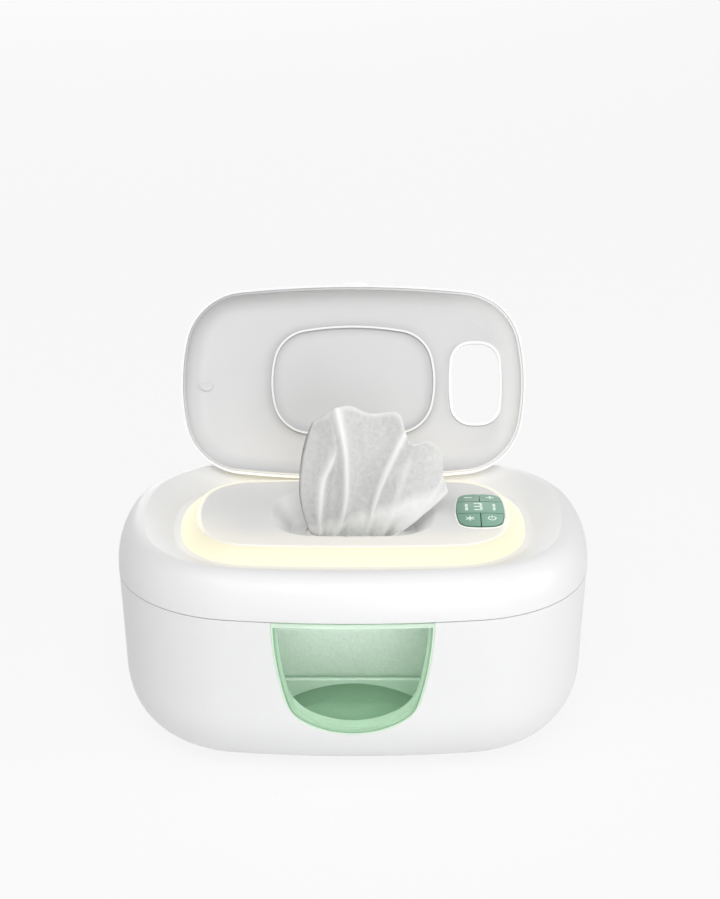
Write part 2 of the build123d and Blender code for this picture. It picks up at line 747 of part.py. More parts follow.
# The soft membrane under the bowl's floor: a slot crossed by slits, whose tongues
# hold the wipe that has been pulled up through it.
membrane_thick = 1.2
membrane_slot = (44.0, 9.0)
slit_width = 0.7
with BuildPart() as membrane:
    with BuildSketch(Plane.XY.offset(bowl_floor_z - bowl_wall - fit_gap - membrane_thick)):
        bowed_area(slot_plan, -3.0, (0, bowl_y))
    extrude(amount=membrane_thick)
    with BuildSketch(Plane.XY.offset(bowl_floor_z - bowl_wall - fit_gap)):
        bowed_area(slot_plan, fit_gap, (0, bowl_y))
    extrude(amount=fit_gap + membrane_thick)
    with BuildSketch(Plane.XY.offset(liner_z)):
        with Locations((0, bowl_y)):
            SlotOverall(*membrane_slot)
            with GridLocations(7.0, 0, 6, 1):
                Rectangle(slit_width, 2 * slot_plan[1] - 5)
    extrude(amount=deck_z - liner_z, mode=Mode.SUBTRACT)
finish(membrane, "membrane")

# The cover's liner closes it from below, over a soft seal that meets the tank's rim.
wipe_opening = (72.0, 48.0)
with BuildPart() as cover_liner:
    with BuildSketch(Plane.XY.offset(liner_z)):
        bowed_area(body_plan, cover_wall + 0.7)
        RectangleRounded(*wipe_opening, 12.0, mode=Mode.SUBTRACT)
    extrude(amount=liner_thick)
    with Locations([(x, y, liner_z) for x, y in cover_bosses + deck_posts]):
        Cylinder(screw_r + 0.1, 3 * liner_thick, mode=Mode.SUBTRACT)
finish(cover_liner, "cover_liner")
seal_gap = 0.3
with BuildPart() as cover_seal:
    with BuildSketch(Plane.XY.offset(tank_rim_z + seal_gap)):
        bowed_area(body_plan, seal_inset)
        bowed_area(body_plan, seal_inset + seal_width, mode=Mode.SUBTRACT)
    extrude(amount=liner_z - tank_rim_z - seal_gap)
finish(cover_seal, "cover_seal")


def upward_screws(places, head_z, head_height, length):
    """Round-headed screws driven upwards, in the open BuildPart."""
    with Locations([(x, y, head_z) for x, y in places]):
        Cylinder(screw_head_r - 0.3, head_height, align=from_top)
        Cylinder(screw_pilot - 0.1, length, align=on_floor)


with BuildPart() as cover_screws:
    upward_screws(cover_bosses, liner_z, 1.6, 8.0)
finish(cover_screws, "cover_screws")
with BuildPart() as deck_screws:
    upward_screws(deck_posts, liner_z, 1.6, 8.0)
finish(deck_screws, "deck_screws")

# The key panel's white frame, standing just proud of the deck, and the dark green
# carrier under it, whose holes guide the plungers of the keys.
carrier_thick = 1.4
carrier_top_z = deck_under_z - 0.1
key_low_z = deck_z - key_sink
plunger_r = 1.5
key_spot_x = 6.0
key_spot_y = (14.0, -13.0)
key_spots = [
    (panel_x + x, panel_y + y) for y in key_spot_y for x in (-key_spot_x, key_spot_x)
]
display_size = (18.0, 8.6)
with BuildPart() as panel_frame:
    with BuildSketch(Plane.XY.offset(deck_under_z)):
        bowed_area(panel_plan, -bezel_width, (panel_x, panel_y))
        bowed_area(panel_plan, -fit_gap, (panel_x, panel_y), mode=Mode.SUBTRACT)
    extrude(amount=deck_thick + bezel_rise)
finish(panel_frame, "panel_frame")
with BuildPart() as key_carrier:
    with BuildSketch(Plane.XY.offset(carrier_top_z - carrier_thick)):
        bowed_area(panel_plan, -bezel_width - 1.0, (panel_x, panel_y))
        with Locations(key_spots):
            Circle(plunger_r + 0.4, mode=Mode.SUBTRACT)
        with Locations((panel_x, panel_y + (key_split_high + key_split_low) / 2)):
            Rectangle(display_size[0] + 1, display_size[1] + 1, mode=Mode.SUBTRACT)
    extrude(amount=carrier_thick)
finish(key_carrier, "key_carrier")

# The control board with the four switches and the three-figure display.
control_z = 103.4
control_thick = 1.2
switch_width, switch_height = 6.0, 3.6
button_r, button_height = 1.75, 0.7
control_size = (22.0, 46.0)
with BuildPart() as control_board:
    with BuildSketch(Plane.XY.offset(control_z)):
        with Locations((panel_x, panel_y)):
            RectangleRounded(*control_size, 2.0)
    extrude(amount=control_thick)
finish(control_board, "control_board")
switch_z = control_z + control_thick
with BuildPart() as key_switches:
    with Locations([(x, y, switch_z) for x, y in key_spots]):
        Box(switch_width, switch_width, switch_height, align=on_floor)
        Cylinder(button_r, switch_height + button_height, align=on_floor)
finish(key_switches, "key_switches")
display_mid_y = panel_y + (key_split_high + key_split_low) / 2
with BuildPart() as display_module:
    with Locations((panel_x, display_mid_y, switch_z)):
        Box(*display_size, carrier_top_z - switch_z, align=on_floor)
finish(display_module, "display_module")


panel_reach = panel_plan[1] + 5.0


def panel_block(low_z, y_from, y_to, x_from=-panel_reach, x_to=panel_reach):
    """The crowned key panel from low_z up, cut to a range of x and y within it."""
    with BuildPart() as block:
        with BuildSketch(Plane.XY.offset(low_z)):
            bowed_area(panel_plan, fit_gap, (panel_x, panel_y))
            with Locations((panel_x + x_from, panel_y + y_from)):
                Rectangle(
                    x_to - x_from, y_to - y_from,
                    align=(Align.MIN, Align.MIN), mode=Mode.INTERSECT,
                )
        extrude(amount=deck_z + panel_rise - low_z + 1)
        with Locations((panel_x, panel_y, deck_z + panel_rise - panel_crown)):
            Sphere(panel_crown, mode=Mode.INTERSECT)
    return block.part


half_groove = key_groove / 2
with BuildPart() as display_lens:
    add(panel_block(
        carrier_top_z, key_split_low + half_groove, key_split_high - half_groove
    ))
finish(display_lens, "display_lens")

# The four keys. Each cap has a plunger that stops short of its switch by a little
# more than the key's travel.
plunger_low_z = switch_z + switch_height + button_height + key_travel + 0.3
key_names = ("key_minus", "key_plus", "key_light", "key_power")
for name, (spot_x, spot_y) in zip(key_names, key_spots):
    is_upper = spot_y > panel_y
    is_left = spot_x < panel_x
    y_from = key_split_high + half_groove if is_upper else -panel_reach
    y_to = panel_reach if is_upper else key_split_low - half_groove
    x_from, x_to = (-panel_reach, -half_groove) if is_left else (half_groove, panel_reach)
    with BuildPart() as key:
        add(panel_block(key_low_z, y_from, y_to, x_from, x_to))
        with Locations((spot_x, spot_y, plunger_low_z)):
            Cylinder(plunger_r, key_low_z - plunger_low_z + 1, align=on_floor)
    finish(key, name)

# ---------------------------------------------------------------- flip lid
# Drawn closed over the ring, then turned open about its hinge.
hinge_line = Axis((0, hinge_y, hinge_z), (1, 0, 0))


def finish_open(piece, name):
    """Turn a lid piece open, name it and write it."""
    opened = piece.part.rotate(hinge_line, -lid_open)
    opened.label = name
    export_step(opened, f"parts/{name}.step")


def lid_ring(outer_x, rim_z, low_z, top_z, width, thick):
    """Profile of the lid's edge: an upright lip and a quarter ellipse over it."""
    with BuildLine() as outline:
        outside = EllipticalCenterArc(
            (lid_plan[0] - lid_round_w, low_z), outer_x - lid_plan[0] + lid_round_w,
            top_z - low_z, start_angle=0, arc_size=90,
        )
        inside = EllipticalCenterArc(
            (lid_plan[0] - lid_round_w, low_z), outer_x - thick - lid_plan[0] + lid_round_w,
            top_z - thick - low_z, start_angle=0, arc_size=90,
        )
        chain(outside @ 0, (outer_x, rim_z), (outer_x - thick, rim_z), inside @ 0)
        Line(inside @ 1, outside @ 1)
    make_face(outline.edges())


lid_path = bowed_path(lid_plan, lid_rim_z)
lid_lip_z = lid_rim_z + lid_lip
lid_under_z = lid_top_z - lid_wall
lid_face_z = lid_under_z - fit_gap - lid_liner_thick
cutout_hole = cutout_trim + fit_gap
cutout_mid = (panel_x, panel_y - cutout_lead)
tab_x = (-5.5, 7.3)
tab_z = (106.5, 108.5)
tab_reach = 1.6
knuckle_mid = (lid_knuckle[0] + lid_knuckle[1]) / 2
with BuildPart() as lid_shell:
    with BuildSketch(Plane.XZ):
        lid_ring(lid_plan[0], lid_rim_z, lid_lip_z, lid_top_z, lid_round_w, lid_wall)
    sweep(path=lid_path)
    with BuildSketch(Plane.XY.offset(lid_under_z)):
        bowed_area(lid_plan, lid_round_w)
    extrude(amount=lid_wall)
    with Locations((tab_x[0], -lid_plan[1] - tab_reach, tab_z[0])):
        Box(tab_x[1] - tab_x[0], tab_reach + lid_wall, tab_z[1] - tab_z[0],
            align=(Align.MIN, Align.MIN, Align.MIN))
    with Locations([(x, hinge_y, hinge_z) for x in (-knuckle_mid, knuckle_mid)]):
        Cylinder(hinge_knuckle_r, lid_knuckle[1] - lid_knuckle[0], rotation=(0, 90, 0))
        Cylinder(hinge_pin_r + 0.05, lid_knuckle[1] - lid_knuckle[0] + 1, rotation=(0, 90, 0),
                 mode=Mode.SUBTRACT)
    with Locations([(x, hinge_y, hinge_z) for x in ear_x]):
        Cylinder(hinge_ear_r + run_gap, ear_outer - ear_inner + 2 * run_gap,
                 rotation=(0, 90, 0), mode=Mode.SUBTRACT)
    with Locations([(x, ear_web[0] - run_gap, dish_z) for x in ear_x]):
        Box(ear_outer - ear_inner + 2 * run_gap, 8, hinge_z - dish_z,
            align=(Align.CENTER, Align.MIN, Align.MIN), mode=Mode.SUBTRACT)
    with BuildSketch(Plane.XY.offset(lid_face_z)):
        bowed_area(cutout_plan, -cutout_hole, cutout_mid)
    extrude(amount=lid_top_z, mode=Mode.SUBTRACT)
finish_open(lid_shell, "lid_shell")

# The lid's inner skin, clipped in behind the shell, with the stop peg at its left.
liner_out_x = lid_plan[0] - lid_wall - fit_gap
peg_r = 3.7
peg_x = -78.0
peg_height = 1.5
with BuildPart() as lid_liner:
    with BuildSketch(Plane.XZ):
        lid_ring(liner_out_x, lid_rim_z + 0.4, lid_lip_z, lid_under_z - fit_gap,
                 lid_round_w, lid_liner_thick)
    sweep(path=lid_path)
    with BuildSketch(Plane.XY.offset(lid_face_z)):
        bowed_area(lid_plan, lid_round_w)
    extrude(amount=lid_liner_thick)
    with BuildSketch(Plane.XY.offset(lid_face_z - peg_height)):
        with Locations((peg_x, 0)):
            Circle(peg_r)
            Rectangle(2 * peg_r, peg_r, align=(Align.CENTER, Align.MAX), mode=Mode.SUBTRACT)
    extrude(amount=peg_height)
    with Locations((0, hinge_y - hinge_ear_r - 0.6, lid_rim_z - 1)):
        Box(2 * (ear_outer + 1), 8, hinge_z + hinge_ear_r + 0.6 - lid_rim_z + 1,
            align=(Align.CENTER, Align.MIN, Align.MIN), mode=Mode.SUBTRACT)
    with BuildSketch(Plane.XY.offset(lid_rim_z)):
        bowed_area(cutout_plan, -cutout_hole, cutout_mid)
    extrude(amount=lid_top_z, mode=Mode.SUBTRACT)
finish_open(lid_liner, "lid_liner")

# The soft gasket that meets the deck round the bowl, and the collar that lines the
# opening over the key panel.
gasket_low_z = deck_z + 0.3
with BuildPart() as lid_gasket:
    with BuildSketch(Plane.XY.offset(gasket_low_z)):
        bowed_area(gasket_plan, -gasket_width, (0, gasket_y))
        bowed_area(gasket_plan, 0, (0, gasket_y), mode=Mode.SUBTRACT)
    extrude(amount=lid_face_z - gasket_low_z)
finish_open(lid_gasket, "lid_gasket")
collar_low_z = deck_z + bezel_rise + 0.4
with BuildPart() as lid_collar:
    with BuildSketch(Plane.XY.offset(collar_low_z)):
        bowed_area(cutout_plan, -cutout_trim, cutout_mid)
        bowed_area(cutout_plan, 0, cutout_mid, mode=Mode.SUBTRACT)
    extrude(amount=lid_top_z - collar_low_z)
finish_open(lid_collar, "lid_collar")

# The wipe that stands up out of the bowl: bunched where the membrane holds it and
# spread above, leaning to the right.
wipe_levels = (
    # height, middle x, middle y, half width, half depth
    (96.0, 0.0, -1.4, 20.0, 4.0),
    (102.5, 0.0, -1.4, 20.5, 4.1),
    (112.0, 3.0, -1.0, 31.0, 7.5),
    (130.0, 9.0, 0.5, 36.0, 9.0),
    (150.0, 8.0, 1.5, 33.0, 8.0),
    (170.0, 4.0, 2.5, 20.0, 6.0),
)
with BuildPart() as pulled_wipe:
    for height, middle_x, middle_y, half_w, half_d in wipe_levels:
        with BuildSketch(Plane.XY.offset(height)):
            with Locations((middle_x, middle_y)):
                Ellipse(half_w, half_d)
    loft()
finish(pulled_wipe, "pulled_wipe")
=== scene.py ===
import json
import math

import bmesh
import bpy
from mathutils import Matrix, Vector, noise


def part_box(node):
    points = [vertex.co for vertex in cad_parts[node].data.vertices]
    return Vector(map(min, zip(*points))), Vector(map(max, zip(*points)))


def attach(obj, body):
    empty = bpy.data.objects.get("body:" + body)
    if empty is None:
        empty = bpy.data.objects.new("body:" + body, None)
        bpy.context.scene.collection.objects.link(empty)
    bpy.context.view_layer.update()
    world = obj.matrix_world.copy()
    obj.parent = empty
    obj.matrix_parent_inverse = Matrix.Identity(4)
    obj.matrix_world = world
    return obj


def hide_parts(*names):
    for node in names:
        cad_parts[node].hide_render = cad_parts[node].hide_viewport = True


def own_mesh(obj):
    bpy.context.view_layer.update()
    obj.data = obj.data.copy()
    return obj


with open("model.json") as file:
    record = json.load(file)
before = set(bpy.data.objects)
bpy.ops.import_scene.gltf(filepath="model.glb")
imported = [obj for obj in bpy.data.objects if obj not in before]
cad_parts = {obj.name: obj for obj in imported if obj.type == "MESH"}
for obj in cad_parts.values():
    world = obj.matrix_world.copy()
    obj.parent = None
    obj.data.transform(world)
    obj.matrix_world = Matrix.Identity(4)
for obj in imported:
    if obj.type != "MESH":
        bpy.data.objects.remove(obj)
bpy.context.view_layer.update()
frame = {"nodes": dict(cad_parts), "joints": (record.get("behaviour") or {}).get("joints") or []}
nodes = frame["nodes"]

# --- Body and lid shells -----------------------------------------------------
# The base bucket and the flip lid are injection-moulded white ABS. Their moulds were
# finely spark-eroded, which leaves a satin face with a grain you feel more than see.


def linear(code):
    """An sRGB hex colour as linear red, green, blue and alpha."""
    parts = [int(code[i : i + 2], 16) / 255 for i in (1, 3, 5)]
    return tuple(c / 12.92 if c <= 0.04045 else ((c + 0.055) / 1.055) ** 2.4 for c in parts) + (1,)


def add_node(tree, kind, settings=None, links=None):
    """Add a shader node, set its sockets and options, and link its inputs.

    Its kind is given without the word ShaderNode, and a node among the links stands for
    its own first output.
    """
    made = tree.nodes.new("ShaderNode" + kind)
    for name, value in (settings or {}).items():
        if isinstance(name, int) or name in made.inputs:
            made.inputs[name].default_value = value
        else:
            setattr(made, name, value)
    for name, source in (links or {}).items():
        first = source.outputs[0] if isinstance(source, bpy.types.Node) else source
        tree.links.new(first, made.inputs[name])
    return made


def start_material(name, settings):
    """A new material with its shader's sockets set, and the object's own coordinates."""
    made = bpy.data.materials.new(name)
    made.use_nodes = True
    shader = made.node_tree.nodes["Principled BSDF"]
    for socket, value in settings.items():
        shader.inputs[socket].default_value = value
    place = add_node(made.node_tree, "TexCoord").outputs["Object"]
    return made, made.node_tree, shader, place


def moulded(name, colour, roughness, grain_mm, depth_mm, settings=None):
    """A moulded plastic: tone and gloss that drift over some 70 mm, and a fine grain."""
    made, tree, shader, place = start_material(name, {"IOR": 1.53, **(settings or {})})
    drift = add_node(tree, "TexNoise", {"Scale": 1000 / 70, "Detail": 3.0}, {"Vector": place})
    tone = add_node(
        tree, "Mix",
        {"data_type": "RGBA", 6: linear(colour[0]), 7: linear(colour[1])},
        {"Factor": drift.outputs["Fac"]},
    )
    grain = add_node(
        tree, "TexNoise", {"Scale": 1000 / grain_mm, "Detail": 2.0}, {"Vector": place}
    )
    gloss = add_node(
        tree, "MapRange", {"To Min": roughness[0], "To Max": roughness[1]},
        {"Value": drift.outputs["Fac"]},
    )
    bump = add_node(
        tree, "Bump", {"Strength": 0.5, "Distance": depth_mm / 1000},
        {"Height": grain.outputs["Fac"]},
    )
    tree.links.new(tone.outputs[2], shader.inputs["Base Color"])
    tree.links.new(gloss.outputs["Result"], shader.inputs["Roughness"])
    tree.links.new(bump.outputs["Normal"], shader.inputs["Normal"])
    return made


def dress(material, *names):
    """Give CAD nodes a material of their own."""
    for name in names:
        piece = nodes[name]
        piece.data.materials.clear()
        piece.data.materials.append(material)


# The finish gives two tones, the range of roughness, and a grain 0.5 mm across and 0.012 mm
# deep, a little coarser than the tool's, so that it shows. Light comes 4 mm into the wall.
satin_finish = (
    ("#f6f6f6", "#f3f3f4"), (0.34, 0.42), 0.5, 0.012,
    {"Subsurface Weight": 0.04, "Subsurface Radius": (0.004, 0.004, 0.004)},
)
white_abs = moulded("white_moulded_ABS", *satin_finish)
dress(white_abs, "base_shell", "lid_shell")

# --- Foot ring ---------------------------------------------------------------
# A closed ring of grey rubber, moulded with a dull face that holds dust and keeps the
# warmer from sliding; it is bonded into the groove under the bucket.
grey_rubber = moulded(
    "grey_moulded_rubber", ("#6e7070", "#616363"), (0.78, 0.88), 0.9, 0.05, {"IOR": 1.52}
)
dress(grey_rubber, "foot_ring")

# --- Floor plate and cover's liner -------------------------------------------
# White ABS plates that close the bucket and the cover from below, held by screws. They
# came from a plain machined tool, with no grain to speak of.
plain_abs = moulded("plain_white_moulded_ABS", ("#e9e9e7", "#e4e4e2"), (0.40, 0.52), 1.2, 0.01)
dress(plain_abs, "bottom_cover", "cover_liner")

# --- Screws and hinge pins ---------------------------------------------------
# Zinc-plated steel screws, bluish and slightly cloudy, are driven up into the bosses of
# the tank and the cover. The hinge pins are bright ground steel, pressed in.


def metal(name, colour, roughness, streak_mm):
    """A plain metal whose roughness drifts in streaks left by plating or grinding."""
    made, tree, shader, place = start_material(
        name, {"Metallic": 1.0, "Base Color": linear(colour)}
    )
    streaks = add_node(
        tree, "TexNoise", {"Scale": 1000 / streak_mm, "Detail": 4.0}, {"Vector": place}
    )
    gloss = add_node(
        tree, "MapRange", {"To Min": roughness[0], "To Max": roughness[1]},
        {"Value": streaks.outputs["Fac"]},
    )
    tree.links.new(gloss.outputs["Result"], shader.inputs["Roughness"])
    return made


zinc = metal("zinc_plated_steel", "#b9bcc2", (0.28, 0.46), 1.5)
dress(zinc, "bottom_screws", "cover_screws", "deck_screws")
ground_steel = metal("ground_steel", "#c4c5c7", (0.18, 0.32), 0.8)
dress(ground_steel, "main_hinge_pins", "flip_hinge_pins")

# --- Front window ------------------------------------------------------------
# One clear green moulding in SAN, set flush into the front of the bucket, with a polished
# pane. Its bright rim, the dark line behind the rim and the glow of its walls are painted
# light and painted shade.
green_san, tree, shader, place = start_material(
    "clear_green_SAN",
    {"Roughness": 0.06, "IOR": 1.57, "Coat Weight": 0.3, "Coat Roughness": 0.03,
     "Emission Color": linear("#c9dcca")},
)
tint = add_node(tree, "TexNoise", {"Scale": 1000 / 50, "Detail": 2.0}, {"Vector": place})
green = add_node(
    tree, "Mix", {"data_type": "RGBA", 6: linear("#ffffff"), 7: linear("#f4f8f4")},
    {"Factor": tint.outputs["Fac"]},
)
flow = add_node(
    tree, "Bump", {"Strength": 0.15, "Distance": 0.0002}, {"Height": tint.outputs["Fac"]}
)
# Walls are told from the pane by the way they face, and the top wall by its height.
window_low, window_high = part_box("viewing_window")
wall_facing = add_node(
    tree, "SeparateXYZ", {},
    {"Vector": add_node(tree, "TexCoord").outputs["Normal"]},
)
frontward = add_node(tree, "Math", {"operation": "ABSOLUTE"}, {0: wall_facing.outputs["Y"]})
side_wall = add_node(
    tree, "MapRange",
    {"From Min": 0.35, "From Max": 0.75, "To Min": 1.0, "To Max": 0.0},
    {"Value": frontward},
)
pane_spot = add_node(tree, "SeparateXYZ", {}, {"Vector": place})
top_wall = add_node(
    tree, "MapRange",
    {"From Min": window_high.z - 0.0024, "From Max": window_high.z - 0.0021},
    {"Value": pane_spot.outputs["Z"]},
)
wall = add_node(tree, "Math", {"operation": "MAXIMUM"}, {0: side_wall, 1: top_wall})
# How far in from the pane's outline a spot lies: each side and the foot is one arc, and
# they are blended where they meet.
side_r, foot_r = 0.168, 0.047
half = add_node(tree, "Math", {"operation": "ABSOLUTE"}, {0: pane_spot.outputs["X"]})
on_half = add_node(tree, "CombineXYZ", {}, {"X": half, "Z": pane_spot.outputs["Z"]})
in_arcs = []
for arc_middle, arc_r in (
    ((window_high.x - side_r, 0, 0.092), side_r), ((0, 0, window_low.z + foot_r), foot_r)
):
    from_arc_middle = add_node(
        tree, "VectorMath", {"operation": "DISTANCE", 1: arc_middle},
        {0: on_half},
    )
    in_arcs.append(add_node(
        tree, "Math", {"operation": "SUBTRACT", 0: arc_r},
        {1: from_arc_middle.outputs["Value"]},
    ).outputs[0])
pane_depth = add_node(
    tree, "Math", {"operation": "SMOOTH_MIN", 2: 0.004}, dict(enumerate(in_arcs))
)
rim_share = add_node(
    tree, "MapRange", {"From Min": -0.001, "From Max": 0.004},
    {"Value": pane_depth},
)
painted_rim_bands = add_node(tree, "ValToRGB", {}, {"Fac": rim_share})
stops = painted_rim_bands.color_ramp.elements
stops.remove(stops[1])
for at, code, opacity in (
    # Inwards from the edge: a painted highlight along the rim, a painted dark line of shade
    # behind it, a band of painted glow, and the clear pane.
    (0.00, "#d8ecd9", 0.85), (0.34, "#d8ecd9", 0.85), (0.42, "#5f9a6c", 0.66),
    (0.50, "#5f9a6c", 0.60), (0.60, "#a9cfae", 0.50), (0.84, "#a9cfae", 0.45),
    (0.94, "#80b58a", 0.30),
):
    stop = stops.new(at) if at else stops[0]
    stop.color = linear(code)[:3] + (opacity,)
toned = add_node(
    tree, "Mix", {"data_type": "RGBA", "blend_type": "MULTIPLY", 0: 1.0},
    {6: painted_rim_bands.outputs["Color"], 7: green.outputs[2]},
)
# The walls are painted a pale tone, and the walls and the rim get a painted glow.
shade = add_node(
    tree, "Mix", {"data_type": "RGBA", 7: linear("#d6ecd9")},
    {"Factor": wall, 6: toned.outputs[2]},
)
opaque = add_node(
    tree, "Mix", {"data_type": "FLOAT", 3: 0.78},
    {0: wall, 2: painted_rim_bands.outputs["Alpha"]},
)
window_painted_glow = add_node(
    tree, "MapRange",
    {"From Min": 0.30, "From Max": 0.85, "To Min": 0.0, "To Max": 0.22},
    {"Value": opaque},
)
tree.links.new(shade.outputs[2], shader.inputs["Base Color"])
tree.links.new(opaque.outputs[0], shader.inputs["Alpha"])
tree.links.new(window_painted_glow.outputs["Result"], shader.inputs["Emission Strength"])
tree.links.new(flow.outputs["Normal"], shader.inputs["Normal"])
dress(green_san, "viewing_window")

# --- Tank --------------------------------------------------------------------
# A thin bucket injection-moulded in polypropylene, milky and faintly green where it
# faces the window. Its flange rests on the ledge inside the body, and the bottom screws
# pull it down.
milky_pp = moulded(
    "milky_moulded_polypropylene", ("#dfe9e1", "#d8e4db"), (0.36, 0.48), 0.8, 0.01,
    {"Subsurface Weight": 0.15, "Subsurface Radius": (0.006, 0.008, 0.006)},
)
dress(milky_pp, "tank")

# --- Heater ------------------------------------------------------------------
# A spreader of rolled aluminium with faint streaks, an orange silicone mat whose wire
# shows as faint ribs, and a fuzzy, flecked blanket of needled felt are stacked under the
# tank's platform. The cut-out on the mat has a cream ceramic case with a shiny glaze.
mill_aluminium = metal("mill_finish_aluminium", "#c9cbcd", (0.30, 0.48), 2.0)
dress(mill_aluminium, "heat_spreader")
orange_silicone, tree, shader, place = start_material(
    "orange_silicone_heating_mat", {"Roughness": 0.62, "IOR": 1.42}
)
# The texture's waves run 20 radians to the unit; the bands of wire lie 37.7 mm apart.
wires = add_node(
    tree, "TexWave", {"Scale": math.tau * 1000 / 20 / 37.7, "Distortion": 0.4},
    {"Vector": place},
)
rubber_tone = add_node(
    tree, "Mix", {"data_type": "RGBA", 6: linear("#c2561f"), 7: linear("#a8461a")},
    {"Factor": wires.outputs["Fac"]},
)
ribs = add_node(
    tree, "Bump", {"Strength": 0.6, "Distance": 0.0003}, {"Height": wires.outputs["Fac"]}
)
tree.links.new(rubber_tone.outputs[2], shader.inputs["Base Color"])
tree.links.new(ribs.outputs["Normal"], shader.inputs["Normal"])
dress(orange_silicone, "heating_mat")
felt, tree, shader, place = start_material(
    "needled_grey_felt", {"Roughness": 0.95, "Sheen Weight": 0.4}
)
fibres = add_node(
    tree, "TexNoise", {"Scale": 1000 / 0.6, "Detail": 5.0, "Roughness": 0.7},
    {"Vector": place},
)
fleck = add_node(
    tree, "Mix", {"data_type": "RGBA", 6: linear("#b4b4b0"), 7: linear("#8e8e8a")},
    {"Factor": fibres.outputs["Fac"]},
)
nap = add_node(
    tree, "Bump", {"Strength": 0.9, "Distance": 0.0004},
    {"Height": fibres.outputs["Fac"]},
)
tree.links.new(fleck.outputs[2], shader.inputs["Base Color"])
tree.links.new(nap.outputs["Normal"], shader.inputs["Normal"])
dress(felt, "insulation")
ceramic = moulded("glazed_cream_ceramic", ("#d6cfb8", "#ccc4aa"), (0.22, 0.34), 0.6, 0.01)
dress(ceramic, "thermal_cutout")

# --- Boards ------------------------------------------------------------------
# Glass-epoxy boards under green solder mask, through which the copper tracks show as
# raised lines; the lamp board's mask is white, to throw the light up. The inlet, the
# switches and the display's case are moulded in dark plastics with a slight gloss.


def board(name, mask, track):
    """Solder mask over copper tracks, which run round patches some 5 mm wide."""
    made, tree, shader, place = start_material(name, {"Roughness": 0.38, "IOR": 1.55})
    cells = add_node(
        tree, "TexVoronoi", {"Scale": 1000 / 5, "feature": "DISTANCE_TO_EDGE"},
        {"Vector": place},
    )
    tracks = add_node(
        tree, "MapRange",
        {"From Min": 0.04, "From Max": 0.08, "To Min": 1.0, "To Max": 0.0},
        {"Value": cells.outputs["Distance"]},
    )
    tone = add_node(
        tree, "Mix", {"data_type": "RGBA", 6: linear(mask), 7: linear(track)},
        {"Factor": tracks},
    )
    raised = add_node(tree, "Bump", {"Strength": 0.5, "Distance": 0.00005}, {"Height": tracks})
    tree.links.new(tone.outputs[2], shader.inputs["Base Color"])
    tree.links.new(raised.outputs["Normal"], shader.inputs["Normal"])
    return made


dress(board("green_solder_mask", "#1d5c33", "#2f7a48"), "power_board", "control_board")
dress(board("white_solder_mask", "#e8e8e4", "#dcdcd6"), "lamp_board")
black_nylon = moulded("black_moulded_nylon", ("#141414", "#1c1c1c"), (0.30, 0.42), 0.5, 0.01)
dress(black_nylon, "power_inlet", "key_switches")
dark_case = moulded("dark_moulded_polycarbonate", ("#26302c", "#1f2825"), (0.35, 0.5), 0.5, 0.01)
dress(dark_case, "display_module")

# --- Cover -------------------------------------------------------------------
# The rolled shoulder and its dish are one moulding in the bucket's satin white ABS, hung
# on the rear hinge. The dish carries a painted warm glow by the foot of the ring, 8.3 mm
# outside the deck.


def inset(tree, flat_place, plan):
    """How far a spot lies inside a bowed outline, in metres.

    The spot is given as a flat vector from the middle of the outline. Each quarter of it
    is three arcs, tangent to each other: half a long side, a corner and half an end.
    """
    half_w, half_d, r_front, r_side, r_corner = (size / 1000 for size in plan)
    front_off, side_off = r_front - half_d, r_side - half_w
    apart = math.hypot(front_off, side_off)
    along = ((r_front - r_corner) ** 2 - (r_side - r_corner) ** 2 + apart ** 2) / (2 * apart)
    across = math.sqrt((r_front - r_corner) ** 2 - along ** 2)
    corner = (
        (front_off * across - side_off * along) / apart,
        (front_off * along + side_off * across) / apart - front_off, 0,
    )
    folded = add_node(tree, "VectorMath", {"operation": "ABSOLUTE"}, {0: flat_place})
    depths = []
    for middle, radius in (
        ((0, -front_off, 0), r_front), ((-side_off, 0, 0), r_side), (corner, r_corner)
    ):
        reach = add_node(tree, "VectorMath", {"operation": "DISTANCE", 1: middle}, {0: folded})
        depths.append(add_node(
            tree, "Math", {"operation": "SUBTRACT", 0: radius},
            {1: reach.outputs["Value"]},
        ).outputs[0])
    by_sides = add_node(tree, "Math", {"operation": "MINIMUM"}, {0: depths[0], 1: depths[1]})
    past = add_node(tree, "VectorMath", {"operation": "SUBTRACT", 1: corner}, {0: folded})
    past_split = add_node(tree, "SeparateXYZ", {}, {"Vector": past})
    least = add_node(
        tree, "Math", {"operation": "MINIMUM"},
        {0: past_split.outputs["X"], 1: past_split.outputs["Y"]},
    )
    at_corner = add_node(tree, "Math", {"operation": "GREATER_THAN", 1: 0.0}, {0: least})
    depth = add_node(
        tree, "Mix", {"data_type": "FLOAT"},
        {0: at_corner, 2: by_sides, 3: depths[2]},
    )
    return depth.outputs[0]


# A bowed outline is given by its half width and half depth and the radii of its long
# sides, its ends and its corners, in mm.
deck_plan = (79.5, 42.0, 811.0, 92.0, 27.8)


